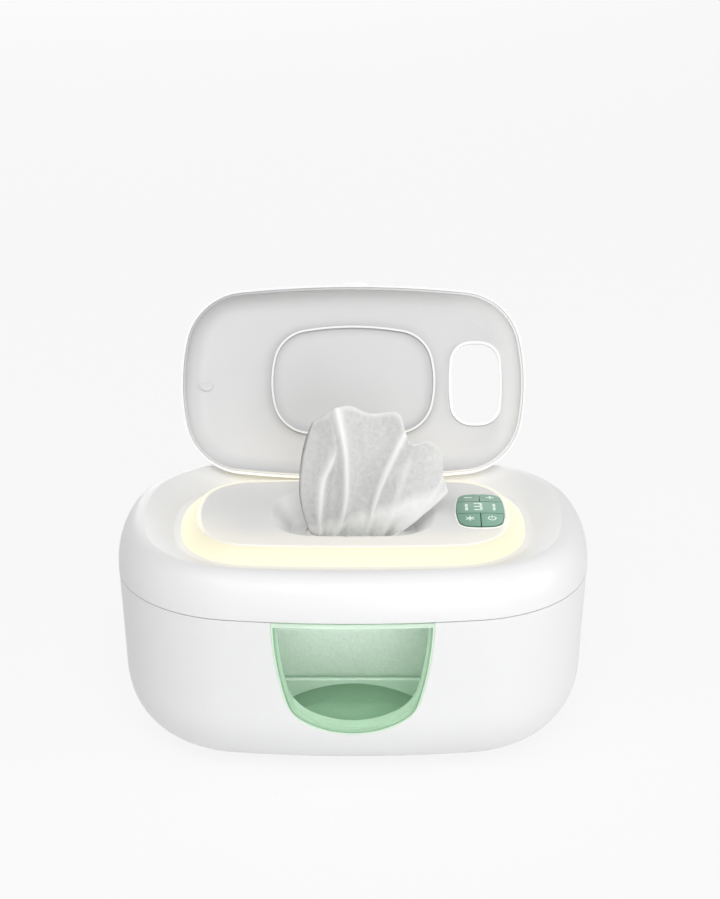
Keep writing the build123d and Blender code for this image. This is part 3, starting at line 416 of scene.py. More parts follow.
def paint_ring_glow(material, nearest, furthest, strength, rim=0.0):
    """A painted glow of the ring's light on the plastic beside it, most of all in front.

    It fades between two places, given as metres inside the deck's outline, and a rim
    2 mm wide at the outline itself can get a painted glow as well, except in front.
    """
    tree = material.node_tree
    place = add_node(tree, "TexCoord").outputs["Object"]
    flat_place = add_node(tree, "VectorMath", {"operation": "MULTIPLY", 1: (1, 1, 0)}, {0: place})
    depth = inset(tree, flat_place.outputs[0], deck_plan)
    halo = add_node(
        tree, "MapRange",
        {"interpolation_type": "SMOOTHSTEP", "From Min": nearest, "From Max": furthest,
         "To Min": strength, "To Max": 0.0},
        {"Value": depth},
    )
    # The halo lies mostly before the warmer's middle, and the rim's glow mostly behind it.
    from_middle = add_node(tree, "SeparateXYZ", {}, {"Vector": place}).outputs["Y"]
    to_front = add_node(
        tree, "MapRange",
        {"From Min": -0.03, "From Max": 0.0, "To Min": 1.0, "To Max": 0.15},
        {"Value": from_middle},
    )
    rim_light = add_node(
        tree, "MapRange",
        {"From Min": 0.0014, "From Max": 0.0022, "To Min": rim, "To Max": 0.0}, {"Value": depth},
    )
    to_back = add_node(
        tree, "MapRange",
        {"From Min": -0.03, "From Max": -0.01, "To Min": 0.05, "To Max": 1.0},
        {"Value": from_middle},
    )
    rim_glow = add_node(tree, "Math", {"operation": "MULTIPLY"}, {0: rim_light, 1: to_back})
    painted_glow_strength = add_node(
        tree, "Math", {"operation": "MULTIPLY_ADD"},
        {0: halo, 1: to_front, 2: rim_glow},
    )
    shader = tree.nodes["Principled BSDF"]
    shader.inputs["Emission Color"].default_value = linear("#ffeeb0")
    tree.links.new(painted_glow_strength.outputs[0], shader.inputs["Emission Strength"])
    return material


glow_painted_abs = moulded("white_moulded_ABS_with_painted_glow", *satin_finish)
dress(paint_ring_glow(glow_painted_abs, nearest=-0.0083, furthest=-0.0150, strength=0.13), "cover_shell")

# --- Lamps, trough and glowing ring ------------------------------------------
# Warm white lamps stand on their board in a glossy white trough. The ring over them is
# moulded in milky acrylic, and its flange holds it under the dish. Under their yellow
# phosphor the lamps show brighter dots, 1.5 mm apart.
phosphor, tree, shader, place = start_material(
    "lamp_phosphor", {"Base Color": linear("#ffe9a8"), "Roughness": 0.5}
)
dots = add_node(tree, "TexVoronoi", {"Scale": 1000 / 1.5}, {"Vector": place})
lit = add_node(
    tree, "MapRange", {"To Min": 1.4, "To Max": 0.9}, {"Value": dots.outputs["Distance"]}
)
shader.inputs["Emission Color"].default_value = linear("#fff2cf")
tree.links.new(lit.outputs["Result"], shader.inputs["Emission Strength"])
dress(phosphor, "lamps")
gloss_white = moulded("glossy_white_ABS", ("#f8f8f7", "#f5f5f4"), (0.14, 0.22), 1.0, 0.004)
dress(gloss_white, "light_trough")

# The ring is lit right through, most of all low down, near the lamps, and at the back.
deck_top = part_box("deck")[1].z
milky_acrylic, tree, shader, place = start_material(
    "milky_acrylic_lit_through", {"Base Color": linear("#a9a89f"), "Roughness": 0.32, "IOR": 1.49}
)
ring_spot = add_node(tree, "SeparateXYZ", {}, {"Vector": place})
fade = add_node(
    tree, "MapRange",
    {"From Min": deck_top - 0.0078, "From Max": deck_top - 0.0006,
     "To Min": 0.72, "To Max": 0.58},
    {"Value": ring_spot.outputs["Z"]},
)
at_hinge = add_node(
    tree, "MapRange",
    {"interpolation_type": "SMOOTHSTEP", "From Min": 0.02, "From Max": 0.045,
     "To Min": 1.0, "To Max": 1.6},
    {"Value": ring_spot.outputs["Y"]},
)
given = add_node(tree, "Math", {"operation": "MULTIPLY"}, {0: fade, 1: at_hinge})
shader.inputs["Emission Color"].default_value = linear("#fff7cf")
tree.links.new(given.outputs[0], shader.inputs["Emission Strength"])
dress(milky_acrylic, "light_ring")

# --- Deck --------------------------------------------------------------------
# The raised platform and its bowl are one moulding in white ABS with a matter face, and
# screws hold it to the cover's liner from below.
matt_abs = moulded("matt_white_moulded_ABS", ("#f3f3f2", "#f0f0ef"), (0.46, 0.55), 0.5, 0.016)
# The deck's face by the ring and its rim get a painted warm glow.
paint_ring_glow(matt_abs, nearest=0.0, furthest=0.0300, strength=0.16, rim=0.34)
# Painted shade: the bowl is greyed towards its floor, most of all before its middle,
# where the front wall keeps the daylight off.
tree = matt_abs.node_tree
shader = tree.nodes["Principled BSDF"]
deck_spot = add_node(
    tree, "SeparateXYZ", {},
    {"Vector": add_node(tree, "TexCoord").outputs["Object"]},
)
on_face = add_node(
    tree, "MapRange", {"From Min": deck_top - 0.0010, "From Max": deck_top - 0.0002},
    {"Value": deck_spot.outputs["Z"]},
)
kept_light = add_node(
    tree, "Math", {"operation": "MULTIPLY"},
    {0: on_face, 1: shader.inputs["Emission Strength"].links[0].from_socket},
)
tree.links.new(kept_light.outputs[0], shader.inputs["Emission Strength"])
down_wall = add_node(
    tree, "MapRange",
    {"From Min": deck_top - 0.0033, "From Max": deck_top - 0.0098, "To Max": 0.34},
    {"Value": deck_spot.outputs["Z"]},
)
by_front_wall = add_node(
    tree, "MapRange",
    {"From Min": 0.003, "From Max": 0.010, "To Min": 1.0, "To Max": 0.3},
    {"Value": deck_spot.outputs["Y"]},
)
painted_bowl_shade = add_node(tree, "Math", {"operation": "MULTIPLY"}, {0: down_wall, 1: by_front_wall})
painted_bowl_tone = add_node(
    tree, "Mix", {"data_type": "RGBA", 7: linear("#9c9c9b")},
    {"Factor": painted_bowl_shade, 6: shader.inputs["Base Color"].links[0].from_socket},
)
tree.links.new(painted_bowl_tone.outputs[2], shader.inputs["Base Color"])
dress(matt_abs, "deck")

# --- Membrane and seal -------------------------------------------------------
# Soft parts pressed in white silicone, slightly translucent, with a dusty dull face. The
# membrane lies under the bowl's floor, and the seal under the cover's liner.
silicone = moulded(
    "white_silicone_rubber", ("#ecebe7", "#e6e5e0"), (0.55, 0.68), 0.7, 0.01,
    {"IOR": 1.41, "Subsurface Weight": 0.2, "Subsurface Radius": (0.004, 0.004, 0.003)},
)
dress(silicone, "membrane", "cover_seal")

# --- Key panel ---------------------------------------------------------------
# Four green ABS key caps and a display lens of the same colour stand in a thin glossy
# white frame, which carries a faint painted glow. The silicone carrier that guides the
# keys shows dark green in the grooves.
glow_painted_frame = moulded(
    "glossy_white_ABS_with_painted_glow", ("#fdfdfd", "#f9f9f9"), (0.14, 0.22), 1.0, 0.004,
    {"Emission Color": linear("#ffffff"), "Emission Strength": 0.22},
)
dress(glow_painted_frame, "panel_frame")


def upward(tree, steep, level):
    """One where a face looks up, zero on a wall, and a ramp between two tilts."""
    facing = add_node(
        tree, "SeparateXYZ", {},
        {"Vector": add_node(tree, "TexCoord").outputs["Normal"]},
    )
    return add_node(
        tree, "MapRange", {"From Min": steep, "From Max": level},
        {"Value": facing.outputs["Z"]},
    ).outputs["Result"]


# The crowns carry painted light, paler towards the right, where the ring's light falls on
# them, and the narrow sides of the caps carry painted shade.
green_keys = moulded("green_key_ABS", ("#74a58c", "#6c9d85"), (0.28, 0.36), 0.5, 0.008)
tree = green_keys.node_tree
shader = tree.nodes["Principled BSDF"]
key_spot = add_node(
    tree, "SeparateXYZ", {},
    {"Vector": add_node(tree, "TexCoord").outputs["Object"]},
)
ring_side = add_node(
    tree, "MapRange", {"From Min": 0.054, "From Max": 0.078},
    {"Value": key_spot.outputs["X"]},
)
painted_crown_light = add_node(
    tree, "Mix", {"data_type": "RGBA", 7: linear("#93c4ad")},
    {"Factor": ring_side, 6: shader.inputs["Base Color"].links[0].from_socket},
)
painted_side_shade = add_node(
    tree, "Mix", {"data_type": "RGBA", 6: linear("#3f7359")},
    {"Factor": upward(tree, 0.3, 0.8), 7: painted_crown_light.outputs[2]},
)
tree.links.new(painted_side_shade.outputs[2], shader.inputs["Base Color"])
dress(green_keys, "display_lens", "key_minus", "key_plus", "key_light", "key_power")
dark_silicone = moulded("dark_green_silicone", ("#2c5341", "#274b3a"), (0.5, 0.6), 0.6, 0.01)
dress(dark_silicone, "key_carrier")

# --- Signs -------------------------------------------------------------------
# The signs are pad-printed in a minty white, and the three figures of the display are lit
# from behind. Each sign is a set of round-ended strokes laid on the panel's crown, a ball
# of 170 mm radius.
# All signs share a faint emission, which on the key caps is a painted glow.
pad_print, tree, shader, place = start_material(
    "minty_white_pad_print", {"Roughness": 0.45, "Emission Color": linear("#e6fff2"),
                              "Emission Strength": 0.08}
)
ink_share = add_node(tree, "TexNoise", {"Scale": 1000 / 0.6}, {"Vector": place})
ink = add_node(
    tree, "Mix", {"data_type": "RGBA", 6: linear("#e2f7ec"), 7: linear("#effcf6")},
    {"Factor": ink_share.outputs["Fac"]},
)
tree.links.new(ink.outputs[2], shader.inputs["Base Color"])
panel_low, panel_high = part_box("panel_frame")
panel_middle = (panel_low + panel_high) / 2
crown_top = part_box("display_lens")[1].z
crown_r, ink_thick = 0.170, 0.00004


def sign(name, strokes, width, body):
    """Strokes from point to point, in mm from the middle of the panel, on one body."""
    mesh = bpy.data.meshes.new(name)
    shape = bmesh.new()
    end_r = width / 2
    for x1, y1, x2, y2 in strokes:
        heading = math.atan2(y2 - y1, x2 - x1)
        outline = []
        for end, (x, y) in ((0, (x2, y2)), (1, (x1, y1))):
            for step in range(7):
                turn = heading - math.pi / 2 + math.pi * (end + step / 6)
                right = (x + end_r * math.cos(turn)) / 1000
                back = (y + end_r * math.sin(turn)) / 1000
                fall = crown_r - math.sqrt(crown_r ** 2 - right ** 2 - back ** 2)
                outline.append(shape.verts.new((
                    panel_middle.x + right, panel_middle.y + back, crown_top - fall + ink_thick
                )))
        shape.faces.new(outline)
    shape.to_mesh(mesh)
    shape.free()
    made = bpy.data.objects.new(name, mesh)
    bpy.context.scene.collection.objects.link(made)
    made.data.materials.append(pad_print)
    skin = made.modifiers.new("ink", "SOLIDIFY")
    skin.thickness = ink_thick
    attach(made, body)


sign("minus_sign", [(-7.3, 14.9, -4.2, 14.9)], 1.2, "key_minus")
sign("plus_sign", [(3.9, 15.0, 7.1, 15.0), (5.5, 13.3, 5.5, 16.7)], 1.1, "key_plus")
for name, x in (("left_figure", -6.95), ("right_figure", 7.15)):
    sign(name, [(x, 4.9, x, 2.3), (x, 0.5, x, -2.1)], 1.5, "cover")
sign(
    "middle_figure",
    [(-2.6, 5.9, 0.5, 5.9), (-2.6, 1.9, 0.5, 1.9), (-2.6, -2.1, 0.7, -2.1),
     (0.5, 5.6, 0.5, 3.2), (0.6, 1.0, 0.6, -1.7)],
    1.25, "cover",
)
spokes = [math.radians(90 + 60 * spoke) for spoke in range(3)]
sign(
    "light_sign",
    [(-5.5 - 2.1 * math.cos(a), -11.9 - 2.1 * math.sin(a),
      -5.5 + 2.1 * math.cos(a), -11.9 + 2.1 * math.sin(a)) for a in spokes],
    0.75, "key_light",
)
sign("light_sign_core", [(-5.6, -11.9, -5.4, -11.9)], 2.0, "key_light")
open_ring = [math.radians(125 + 290 * part / 14) for part in range(15)]
sign(
    "power_sign",
    [(5.7 + 1.9 * math.cos(a), -11.7 + 2.0 * math.sin(a),
      5.7 + 1.9 * math.cos(b), -11.7 + 2.0 * math.sin(b))
     for a, b in zip(open_ring, open_ring[1:])]
    + [(5.7, -9.3, 5.7, -11.3)],
    0.75, "key_power",
)

# --- Lid's skin, collar and gasket -------------------------------------------
# The flip lid's shell is lined with a skin of matt pale grey ABS, clipped in from inside,
# and a glossy white collar lines its opening for the key panel. A silicone gasket stands
# on the skin and lands round the bowl.
dress(gloss_white, "lid_collar")
# The skin carries painted shade in the corners along the rim and round the gasket, and
# painted light by the right-hand rim. Its outlines are measured in the plane of the lid,
# which stands open and leans back.
liner_abs = moulded("matt_pale_grey_ABS", ("#dadadb", "#d6d6d7"), (0.42, 0.50), 0.5, 0.014)
lid_plan = (91.2, 52.0, 588.0, 114.0, 33.2)
gasket_plan = (42.5, 29.0, 150.0, 55.0, 19.0)
lid_hinge = next(joint for joint in frame["joints"] if joint["name"] == "lid_hinge")
lid_pin, lid_open = lid_hinge["pos_m"], math.radians(lid_hinge["range_deg"][1])
tree = liner_abs.node_tree
shader = tree.nodes["Principled BSDF"]
place = add_node(tree, "TexCoord").outputs["Object"]
from_hinge = add_node(tree, "VectorMath", {"operation": "SUBTRACT", 1: lid_pin}, {0: place})
down_lid = add_node(
    tree, "VectorMath",
    {"operation": "DOT_PRODUCT", 1: (0, math.cos(lid_open), -math.sin(lid_open))},
    {0: from_hinge},
)
across_lid = add_node(tree, "SeparateXYZ", {}, {"Vector": place}).outputs["X"]
to_left = add_node(
    tree, "MapRange",
    {"From Min": -0.07, "From Max": 0.06, "To Min": 1.0, "To Max": 0.0},
    {"Value": across_lid},
)
to_top = add_node(
    tree, "MapRange",
    {"From Min": -0.075, "From Max": -0.015, "To Min": 1.0, "To Max": 0.15},
    {"Value": down_lid.outputs["Value"]},
)
far_corner = add_node(tree, "Math", {"operation": "MULTIPLY"}, {0: to_left, 1: to_top})
painted_shades = []
for middle_up, plan, line_depth, bands, share in (
    # How far up the lid the outline's middle is, the outline, how far inside it the painted
    # shade is darkest, the width and strength of a narrow and a wide band of it, and its share.
    (lid_pin[1] + 0.0012, gasket_plan, -0.0005, ((0.0012, 0.55), (0.0060, 0.14)), None),
    (lid_pin[1], lid_plan, 0.0020, ((0.0012, 0.45), (0.0100, 0.30)), far_corner),
):
    down_plan = add_node(
        tree, "Math", {"operation": "ADD", 1: middle_up},
        {0: down_lid.outputs["Value"]},
    )
    on_lid = add_node(tree, "CombineXYZ", {}, {"X": across_lid, "Y": down_plan})
    depth = inset(tree, on_lid.outputs[0], plan)
    away = add_node(tree, "Math", {"operation": "SUBTRACT", 1: line_depth}, {0: depth})
    away_size = add_node(tree, "Math", {"operation": "ABSOLUTE"}, {0: away})
    for width, strength in bands:
        painted_shade = add_node(
            tree, "MapRange",
            {"interpolation_type": "SMOOTHSTEP", "From Max": width,
             "To Min": strength, "To Max": 0.0},
            {"Value": away_size},
        ).outputs["Result"]
        if share:
            painted_shade = add_node(
                tree, "Math", {"operation": "MULTIPLY"},
                {0: painted_shade, 1: share},
            ).outputs[0]
        painted_shades.append(painted_shade)
painted_shade_share = painted_shades[0]
for painted_shade in painted_shades[1:]:
    painted_shade_share = add_node(tree, "Math", {"operation": "MAXIMUM"}, {0: painted_shade_share, 1: painted_shade}).outputs[0]
# Painted shade greys the skin, and painted light pales it by the right-hand rim.
painted_shade_tone = add_node(
    tree, "Mix", {"data_type": "RGBA", 7: linear("#7c7c80")},
    {"Factor": painted_shade_share, 6: shader.inputs["Base Color"].links[0].from_socket},
)
by_rim = add_node(
    tree, "MapRange",
    {"interpolation_type": "SMOOTHSTEP", "From Min": 0.004, "From Max": 0.016,
     "To Min": 0.85, "To Max": 0.0},
    {"Value": depth},
)
to_right = add_node(tree, "MapRange", {"From Min": 0.05, "From Max": 0.08}, {"Value": across_lid})
rim_painted_light = add_node(tree, "Math", {"operation": "MULTIPLY"}, {0: by_rim, 1: to_right})
rim_painted_light_tone = add_node(
    tree, "Mix", {"data_type": "RGBA", 7: linear("#f4f4f4")},
    {"Factor": rim_painted_light, 6: painted_shade_tone.outputs[2]},
)
tree.links.new(rim_painted_light_tone.outputs[2], shader.inputs["Base Color"])
dress(liner_abs, "lid_liner")
# The gasket's lip carries painted shade on its flanks, which are told from its edge by
# the way they face, as the lid stands open.
lip_silicone = moulded(
    "white_silicone_lip", ("#fbfbfb", "#f7f7f7"), (0.45, 0.6), 0.7, 0.006, {"IOR": 1.41}
)
tree = lip_silicone.node_tree
shader = tree.nodes["Principled BSDF"]
square_on = add_node(
    tree, "VectorMath",
    {"operation": "DOT_PRODUCT", 1: (0, -math.sin(lid_open), -math.cos(lid_open))},
    {0: add_node(tree, "TexCoord").outputs["Normal"]},
)
lip_edge = add_node(
    tree, "MapRange", {"From Min": 0.3, "From Max": 0.75},
    {"Value": square_on.outputs["Value"]},
)
painted_flank_shade = add_node(
    tree, "Mix", {"data_type": "RGBA", 6: linear("#b4b4b4")},
    {"Factor": lip_edge, 7: shader.inputs["Base Color"].links[0].from_socket},
)
tree.links.new(painted_flank_shade.outputs[2], shader.inputs["Base Color"])
dress(lip_silicone, "lid_gasket")

# --- Sponge ------------------------------------------------------------------
# An open-cell grey-green cellulose sponge stands loose in the trough. It carries painted
# shade, darkest on its top at the back against the wipes, and paler down its front.
sponge, tree, shader, place = start_material(
    "wet_grey_green_cellulose_sponge", {"Roughness": 0.7, "IOR": 1.36}
)
cells = add_node(tree, "TexVoronoi", {"Scale": 1000 / 1.1}, {"Vector": place})
sponge_spot = add_node(tree, "SeparateXYZ", {}, {"Vector": place})
sponge_low, sponge_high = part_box("moisture_sponge")
top_painted_light = add_node(
    tree, "MapRange",
    {"From Min": sponge_high.y, "From Max": sponge_low.y, "To Min": 0.0, "To Max": 0.15},
    {"Value": sponge_spot.outputs["Y"]},
)
face_painted_light = add_node(
    tree, "MapRange",
    {"From Min": sponge_high.z, "From Max": sponge_high.z - 0.009,
     "To Min": 0.30, "To Max": 1.0},
    {"Value": sponge_spot.outputs["Z"]},
)
sponge_painted_light = add_node(
    tree, "Mix", {"data_type": "FLOAT"},
    {0: upward(tree, 0.2, 0.8), 2: face_painted_light, 3: top_painted_light},
)
sponge_painted_shade = add_node(
    tree, "Mix", {"data_type": "RGBA", 6: linear("#213525"), 7: linear("#b9d6be")},
    {"Factor": sponge_painted_light},
)
pores = add_node(
    tree, "Bump", {"Strength": 0.4, "Distance": 0.0003},
    {"Height": cells.outputs["Distance"]},
)
tree.links.new(sponge_painted_shade.outputs[2], shader.inputs["Base Color"])
tree.links.new(pores.outputs["Normal"], shader.inputs["Normal"])
dress(sponge, "moisture_sponge")

# --- Folded wipes ------------------------------------------------------------
# Spunlaced viscose nonwoven, wet and limp, embossed with dimples 1.6 mm apart. It has no
# weave; short fibres give it a cloudy look, and light comes a little way through. The
# wipes are folded into a stack, which lies loose in the tank.
nonwoven, tree, shader, place = start_material(
    "wet_spunlaced_nonwoven",
    {"Roughness": 0.72, "Sheen Weight": 0.15, "Subsurface Weight": 0.2,
     "Subsurface Radius": (0.003, 0.003, 0.003)},
)
clouds = add_node(
    tree, "TexNoise", {"Scale": 1000 / 2.6, "Detail": 5.0, "Roughness": 0.68},
    {"Vector": place},
)
dimples = add_node(tree, "TexVoronoi", {"Scale": 1000 / 1.6}, {"Vector": place})
fibre_share = add_node(
    tree, "MapRange", {"From Min": 0.36, "From Max": 0.64},
    {"Value": clouds.outputs["Fac"]},
)
cloth_tone = add_node(
    tree, "Mix", {"data_type": "RGBA", 6: linear("#cecece"), 7: linear("#dcdcdb")},
    {"Factor": fibre_share},
)
relief = add_node(
    tree, "Math", {"operation": "ADD"},
    {0: dimples.outputs["Distance"], 1: clouds.outputs["Fac"]},
)
emboss = add_node(tree, "Bump", {"Strength": 0.5, "Distance": 0.0003}, {"Height": relief})
# Painted highlight: the cloth is paler along its folds, by an attribute that the drawn-up wipe
# carries.
highlight_paint_attr = add_node(
    tree, "Attribute", {"attribute_name": "fold_highlight_paint", "attribute_type": "GEOMETRY"}
)
highlighted_tone = add_node(
    tree, "Mix", {"data_type": "RGBA", 7: linear("#fbfbfb")},
    {"Factor": highlight_paint_attr.outputs["Fac"], 6: cloth_tone.outputs[2]},
)
# Painted light on the drawn-up wipe by its foot, where it comes up out of the bowl:
# under a line that rises by 0.3 to its right.
wipe_spot = add_node(tree, "SeparateXYZ", {}, {"Vector": place})
over_line = add_node(
    tree, "Math", {"operation": "MULTIPLY_ADD", 1: -0.3},
    {0: wipe_spot.outputs["X"], 2: wipe_spot.outputs["Z"]},
)
by_foot = add_node(
    tree, "MapRange",
    {"From Min": deck_top - 0.0043, "From Max": deck_top + 0.0017,
     "To Min": 0.9, "To Max": 0.0},
    {"Value": over_line},
)
out_of_tank = add_node(
    tree, "MapRange", {"From Min": 0.099, "From Max": 0.101},
    {"Value": wipe_spot.outputs["Z"]},
)
foot_painted_light = add_node(tree, "Math", {"operation": "MULTIPLY"}, {0: by_foot, 1: out_of_tank})
foot_lit_tone = add_node(
    tree, "Mix", {"data_type": "RGBA", 7: linear("#fcfcfa")},
    {"Factor": foot_painted_light, 6: highlighted_tone.outputs[2]},
)
tree.links.new(foot_lit_tone.outputs[2], shader.inputs["Base Color"])
tree.links.new(emboss.outputs["Normal"], shader.inputs["Normal"])
dress(nonwoven, "wipe_stack", "pulled_wipe")


def sheet_mesh(name, rows, thick):
    """A smooth sheet of cloth from rows of points, with the cloth's thickness."""
    mesh = bpy.data.meshes.new(name)
    wide = len(rows[0])
    points = [point for row in rows for point in row]
    faces = [
        (row * wide + at, row * wide + at + 1, (row + 1) * wide + at + 1, (row + 1) * wide + at)
        for row in range(len(rows) - 1)
        for at in range(wide - 1)
    ]
    mesh.from_pydata(points, [], faces)
    mesh.polygons.foreach_set("use_smooth", [True] * len(faces))
    made = bpy.data.objects.new(name, mesh)
    bpy.context.scene.collection.objects.link(made)
    made.data.materials.append(nonwoven)
    solid = made.modifiers.new("thickness", "SOLIDIFY")
    solid.thickness = thick
    solid.offset = 0
    return made


# Fourteen wipes lie on the platform, each folded in half, the folds turned to the front
# and the back by turns, and the lowest one wraps up over the front of the others.
low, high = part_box("wipe_stack")
wipe_width, wipe_length, leaf = 0.178, 0.198, 0.0005
layers = 14
fold_bulge = 0.0008
pitch = (high.z - low.z - 0.0012) / (2 * layers)  # 1.2 mm is left for the wrapping wipe
middle = (low.y + high.y) / 2
reach = (high.y - low.y) / 2 - 0.0022 - fold_bulge


def quarter(step):
    """The angle at one of the six steps of a quarter turn."""
    return math.pi / 2 * step / 6


# Along and up: the lower leaf, the fold, and the upper leaf back over it.
folded_run = [(reach * (2 * step / 24 - 1), 0.0) for step in range(25)]
folded_run += [
    (reach + fold_bulge * math.sin(turn), pitch / 2 * (1 - math.cos(turn)))
    for turn in (2 * quarter(step) for step in range(1, 6))
]
folded_run += [(reach * (1 - 2 * step / 24), pitch) for step in range(25)]
for number in range(layers):
    turned = 1 if number % 2 else -1
    rise = low.z + 0.0008 + pitch * (2 * number + 0.5)
    rows = []
    for column in range(31):
        x = wipe_width * (column / 30 - 0.5)
        row = []
        for along, z in folded_run:
            y = turned * along
            sway = noise.noise(Vector((x * 30, y * 30, number * 0.7))) * 0.00012
            shift = noise.noise(Vector((x * 12, number * 3.1, 0))) * 0.0006
            row.append((x, middle + y + shift, rise + z + sway))
        rows.append(row)
    wipe = sheet_mesh(f"folded_wipe_{number + 1:02d}", rows, leaf)
    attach(wipe, "base")
    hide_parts("wipe_stack")

# Back and up: under the stack to its front, round the edge, up the front and over.
bend_r = 0.003
tail, front, over_top = high.y - 0.004, low.y - 0.0001, 0.045
foot, head = low.z + 0.0002, high.z - 0.0003
wrap = [(tail - (tail - front - bend_r) * step / 12, foot) for step in range(13)]
wrap += [
    (front + bend_r * (1 - math.sin(turn)), foot + bend_r * (1 - math.cos(turn)))
    for turn in (quarter(step) for step in range(1, 7))
]
wrap += [(front, foot + bend_r + (head - foot - 2 * bend_r) * step / 10) for step in range(1, 11)]
wrap += [
    (front + bend_r * (1 - math.cos(turn)), head - bend_r * (1 - math.sin(turn)))
    for turn in (quarter(step) for step in range(1, 7))
]
wrap += [(front + bend_r + over_top * step / 12, head) for step in range(1, 13)]
rows = []
for column in range(61):
    x = wipe_width * (column / 60 - 0.5)
    rows.append([(x, y + noise.noise(Vector((x * 25, z * 40, 5))) * 0.0004, z) for y, z in wrap])
wrapper = sheet_mesh("wrapping_wipe", rows, leaf)
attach(wrapper, "base")
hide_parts("wipe_stack")

# --- Drawn-up wipe -----------------------------------------------------------
# The next wipe stands up out of the bowl, folded in half lengthways, with its fold at
# the left. It is gathered where the membrane holds it, and its folds open out above.
creases = (
    # From left to right, how sharp each crease or hollow is low down and high up, then
    # where it runs: five places from the slot up to the free edge, as millimetres across,
    # up and back from the middle of the deck.
    (0, 0, (-21, 98, 0), (-26.3, 116, -1), (-27.2, 132, 0.4),
     (-24.8, 149, 2.4), (-20.5, 161, 3)),
    (1, 0, (-17, 98, -4), (-16.8, 116, -7.5), (-15, 133, -7.8),
     (-9.6, 148, -7.6), (-14.2, 167.4, -2)),
    (0, 0, (-12.8, 98, 0), (-10.6, 117, -2.4), (-9.4, 133, -3.4),
     (-7.4, 150, -6.5), (-11.6, 170.4, -3.6)),
    (1, 1, (-10, 98, -4.4), (-4.4, 117, -8.5), (-3.3, 135, -9.6),
     (-4.6, 153, -9), (-8.6, 172.6, -6)),
    (0, 0, (-5, 98, 0.4), (0.4, 118, -3), (1.6, 137, -4),
     (1, 155, -4), (-1.4, 172.4, -3)),
    (0, 0, (0.4, 98, 0), (4, 118, -1), (7, 137, -2),
     (9.6, 154, -2), (9, 167.6, -1)),
    (0, 0, (4, 98, 0), (7.6, 116.5, -1.4), (11.6, 134, -1.6),
     (17.4, 151, -0.6), (22.4, 167.6, -0.4)),
    (1, 1, (6.5, 98, -4), (9.8, 115, -5.4), (14.7, 131, -5.8),
     (21, 146, -5.6), (27, 156.4, -3)),
    (0, 0, (10, 98, 1.4), (13.6, 114.5, -0.4), (18.8, 130, -1),
     (24.8, 143, -0.8), (28.6, 151.4, 0.6)),
    (0.35, 0, (14.6, 98, -3), (19.8, 114, -3.6), (24.6, 130, -2.6),
     (28.4, 142, -1.4), (31.4, 150.6, -0.4)),
    (0, 0, (17, 98, 0), (24.6, 111.6, -0.6), (31.2, 126, 0),
     (36, 140, 1.6), (38.4, 150.8, 3)),
    (0, 0, (18.6, 98, 0.4), (28, 110, -0.8), (36.6, 122.6, 0),
     (42, 135, 1.6), (44.5, 144.4, 3.6)),
    (0.4, 0.6, (20, 98, 0.8), (29.6, 108.6, -2.4), (37.6, 118, -2.4),
     (43.4, 126, -0.4), (46, 132, 1.6)),
    (0, 0, (21, 98, 1.2), (30.2, 107.6, -3.4), (37, 115, -4.9),
     (43, 120.6, -4.6), (48.4, 125, -2.6)),
)


def curve(a, b, into, out, t):
    """A point on the smooth curve from a to b that leaves along into and ends along out."""
    return (
        a * (2 * t ** 3 - 3 * t * t + 1) + into * (t ** 3 - 2 * t * t + t)
        + b * (3 * t * t - 2 * t ** 3) + out * (t ** 3 - t * t)
    )


def crease_place(path, up):
    """Where a crease lies at a share of the way up."""
    along = up * (len(path) - 1)
    at = min(int(along), len(path) - 2)
    a, b = Vector(path[at]), Vector(path[at + 1])
    into = (b - Vector(path[at - 1])) / 2 if at else b - a
    out = (Vector(path[at + 2]) - a) / 2 if at + 2 < len(path) else b - a
    return curve(a, b, into, out, along - at)


def wipe_row(up, steps=8):
    """Points across the wipe at a share of the way up, and the share of painted highlight at each.
    """
    spots = [crease_place(path, up) for low_down, high_up, *path in creases]
    # Creases turn from their low to their high sharpness about three quarters of the way up.
    turned = min(1.0, max(0.0, (up - 0.68) / 0.14))
    keen = [low_down + (high_up - low_down) * turned for low_down, high_up, *path in creases]
    fold_width = 1.1 + 2.0 * up
    row = []
    for at, (a, b) in enumerate(zip(spots, spots[1:])):
        sharp, next_sharp = keen[at], keen[at + 1]
        before = spots[at - 1] if at else 2 * a - b
        after = spots[at + 2] if at + 2 < len(spots) else 2 * b - a
        into = ((b - before) / 2).lerp((b - a) * 1.2, sharp)
        out = ((after - a) / 2).lerp((b - a) * 1.2, next_sharp)
        for step in range(steps):
            t = step / steps
            point = curve(a, b, into, out, t)
            # Painted highlight: how much paler the cloth is drawn at each point.
            highlight_paint = max(
                sharp * math.exp(-(((point - a).length / fold_width) ** 2)),
                next_sharp * math.exp(-(((point - b).length / fold_width) ** 2)),
                0.75 * max(0.0, 1 - up / 0.20),  # low down, where it is gathered
                0.25 * max(0.0, 1 - abs(at + t - 11) / 1.8),  # by the twelfth crease
                0.30 * max(0.0, 1 - (at + t) / 0.7),  # round the fold at the left
                0.60 * max(0.0, (up - 0.95) / 0.05),  # along the free edge
            )
            row.append((point, highlight_paint))
    return row + [(spots[-1], 0.0)]


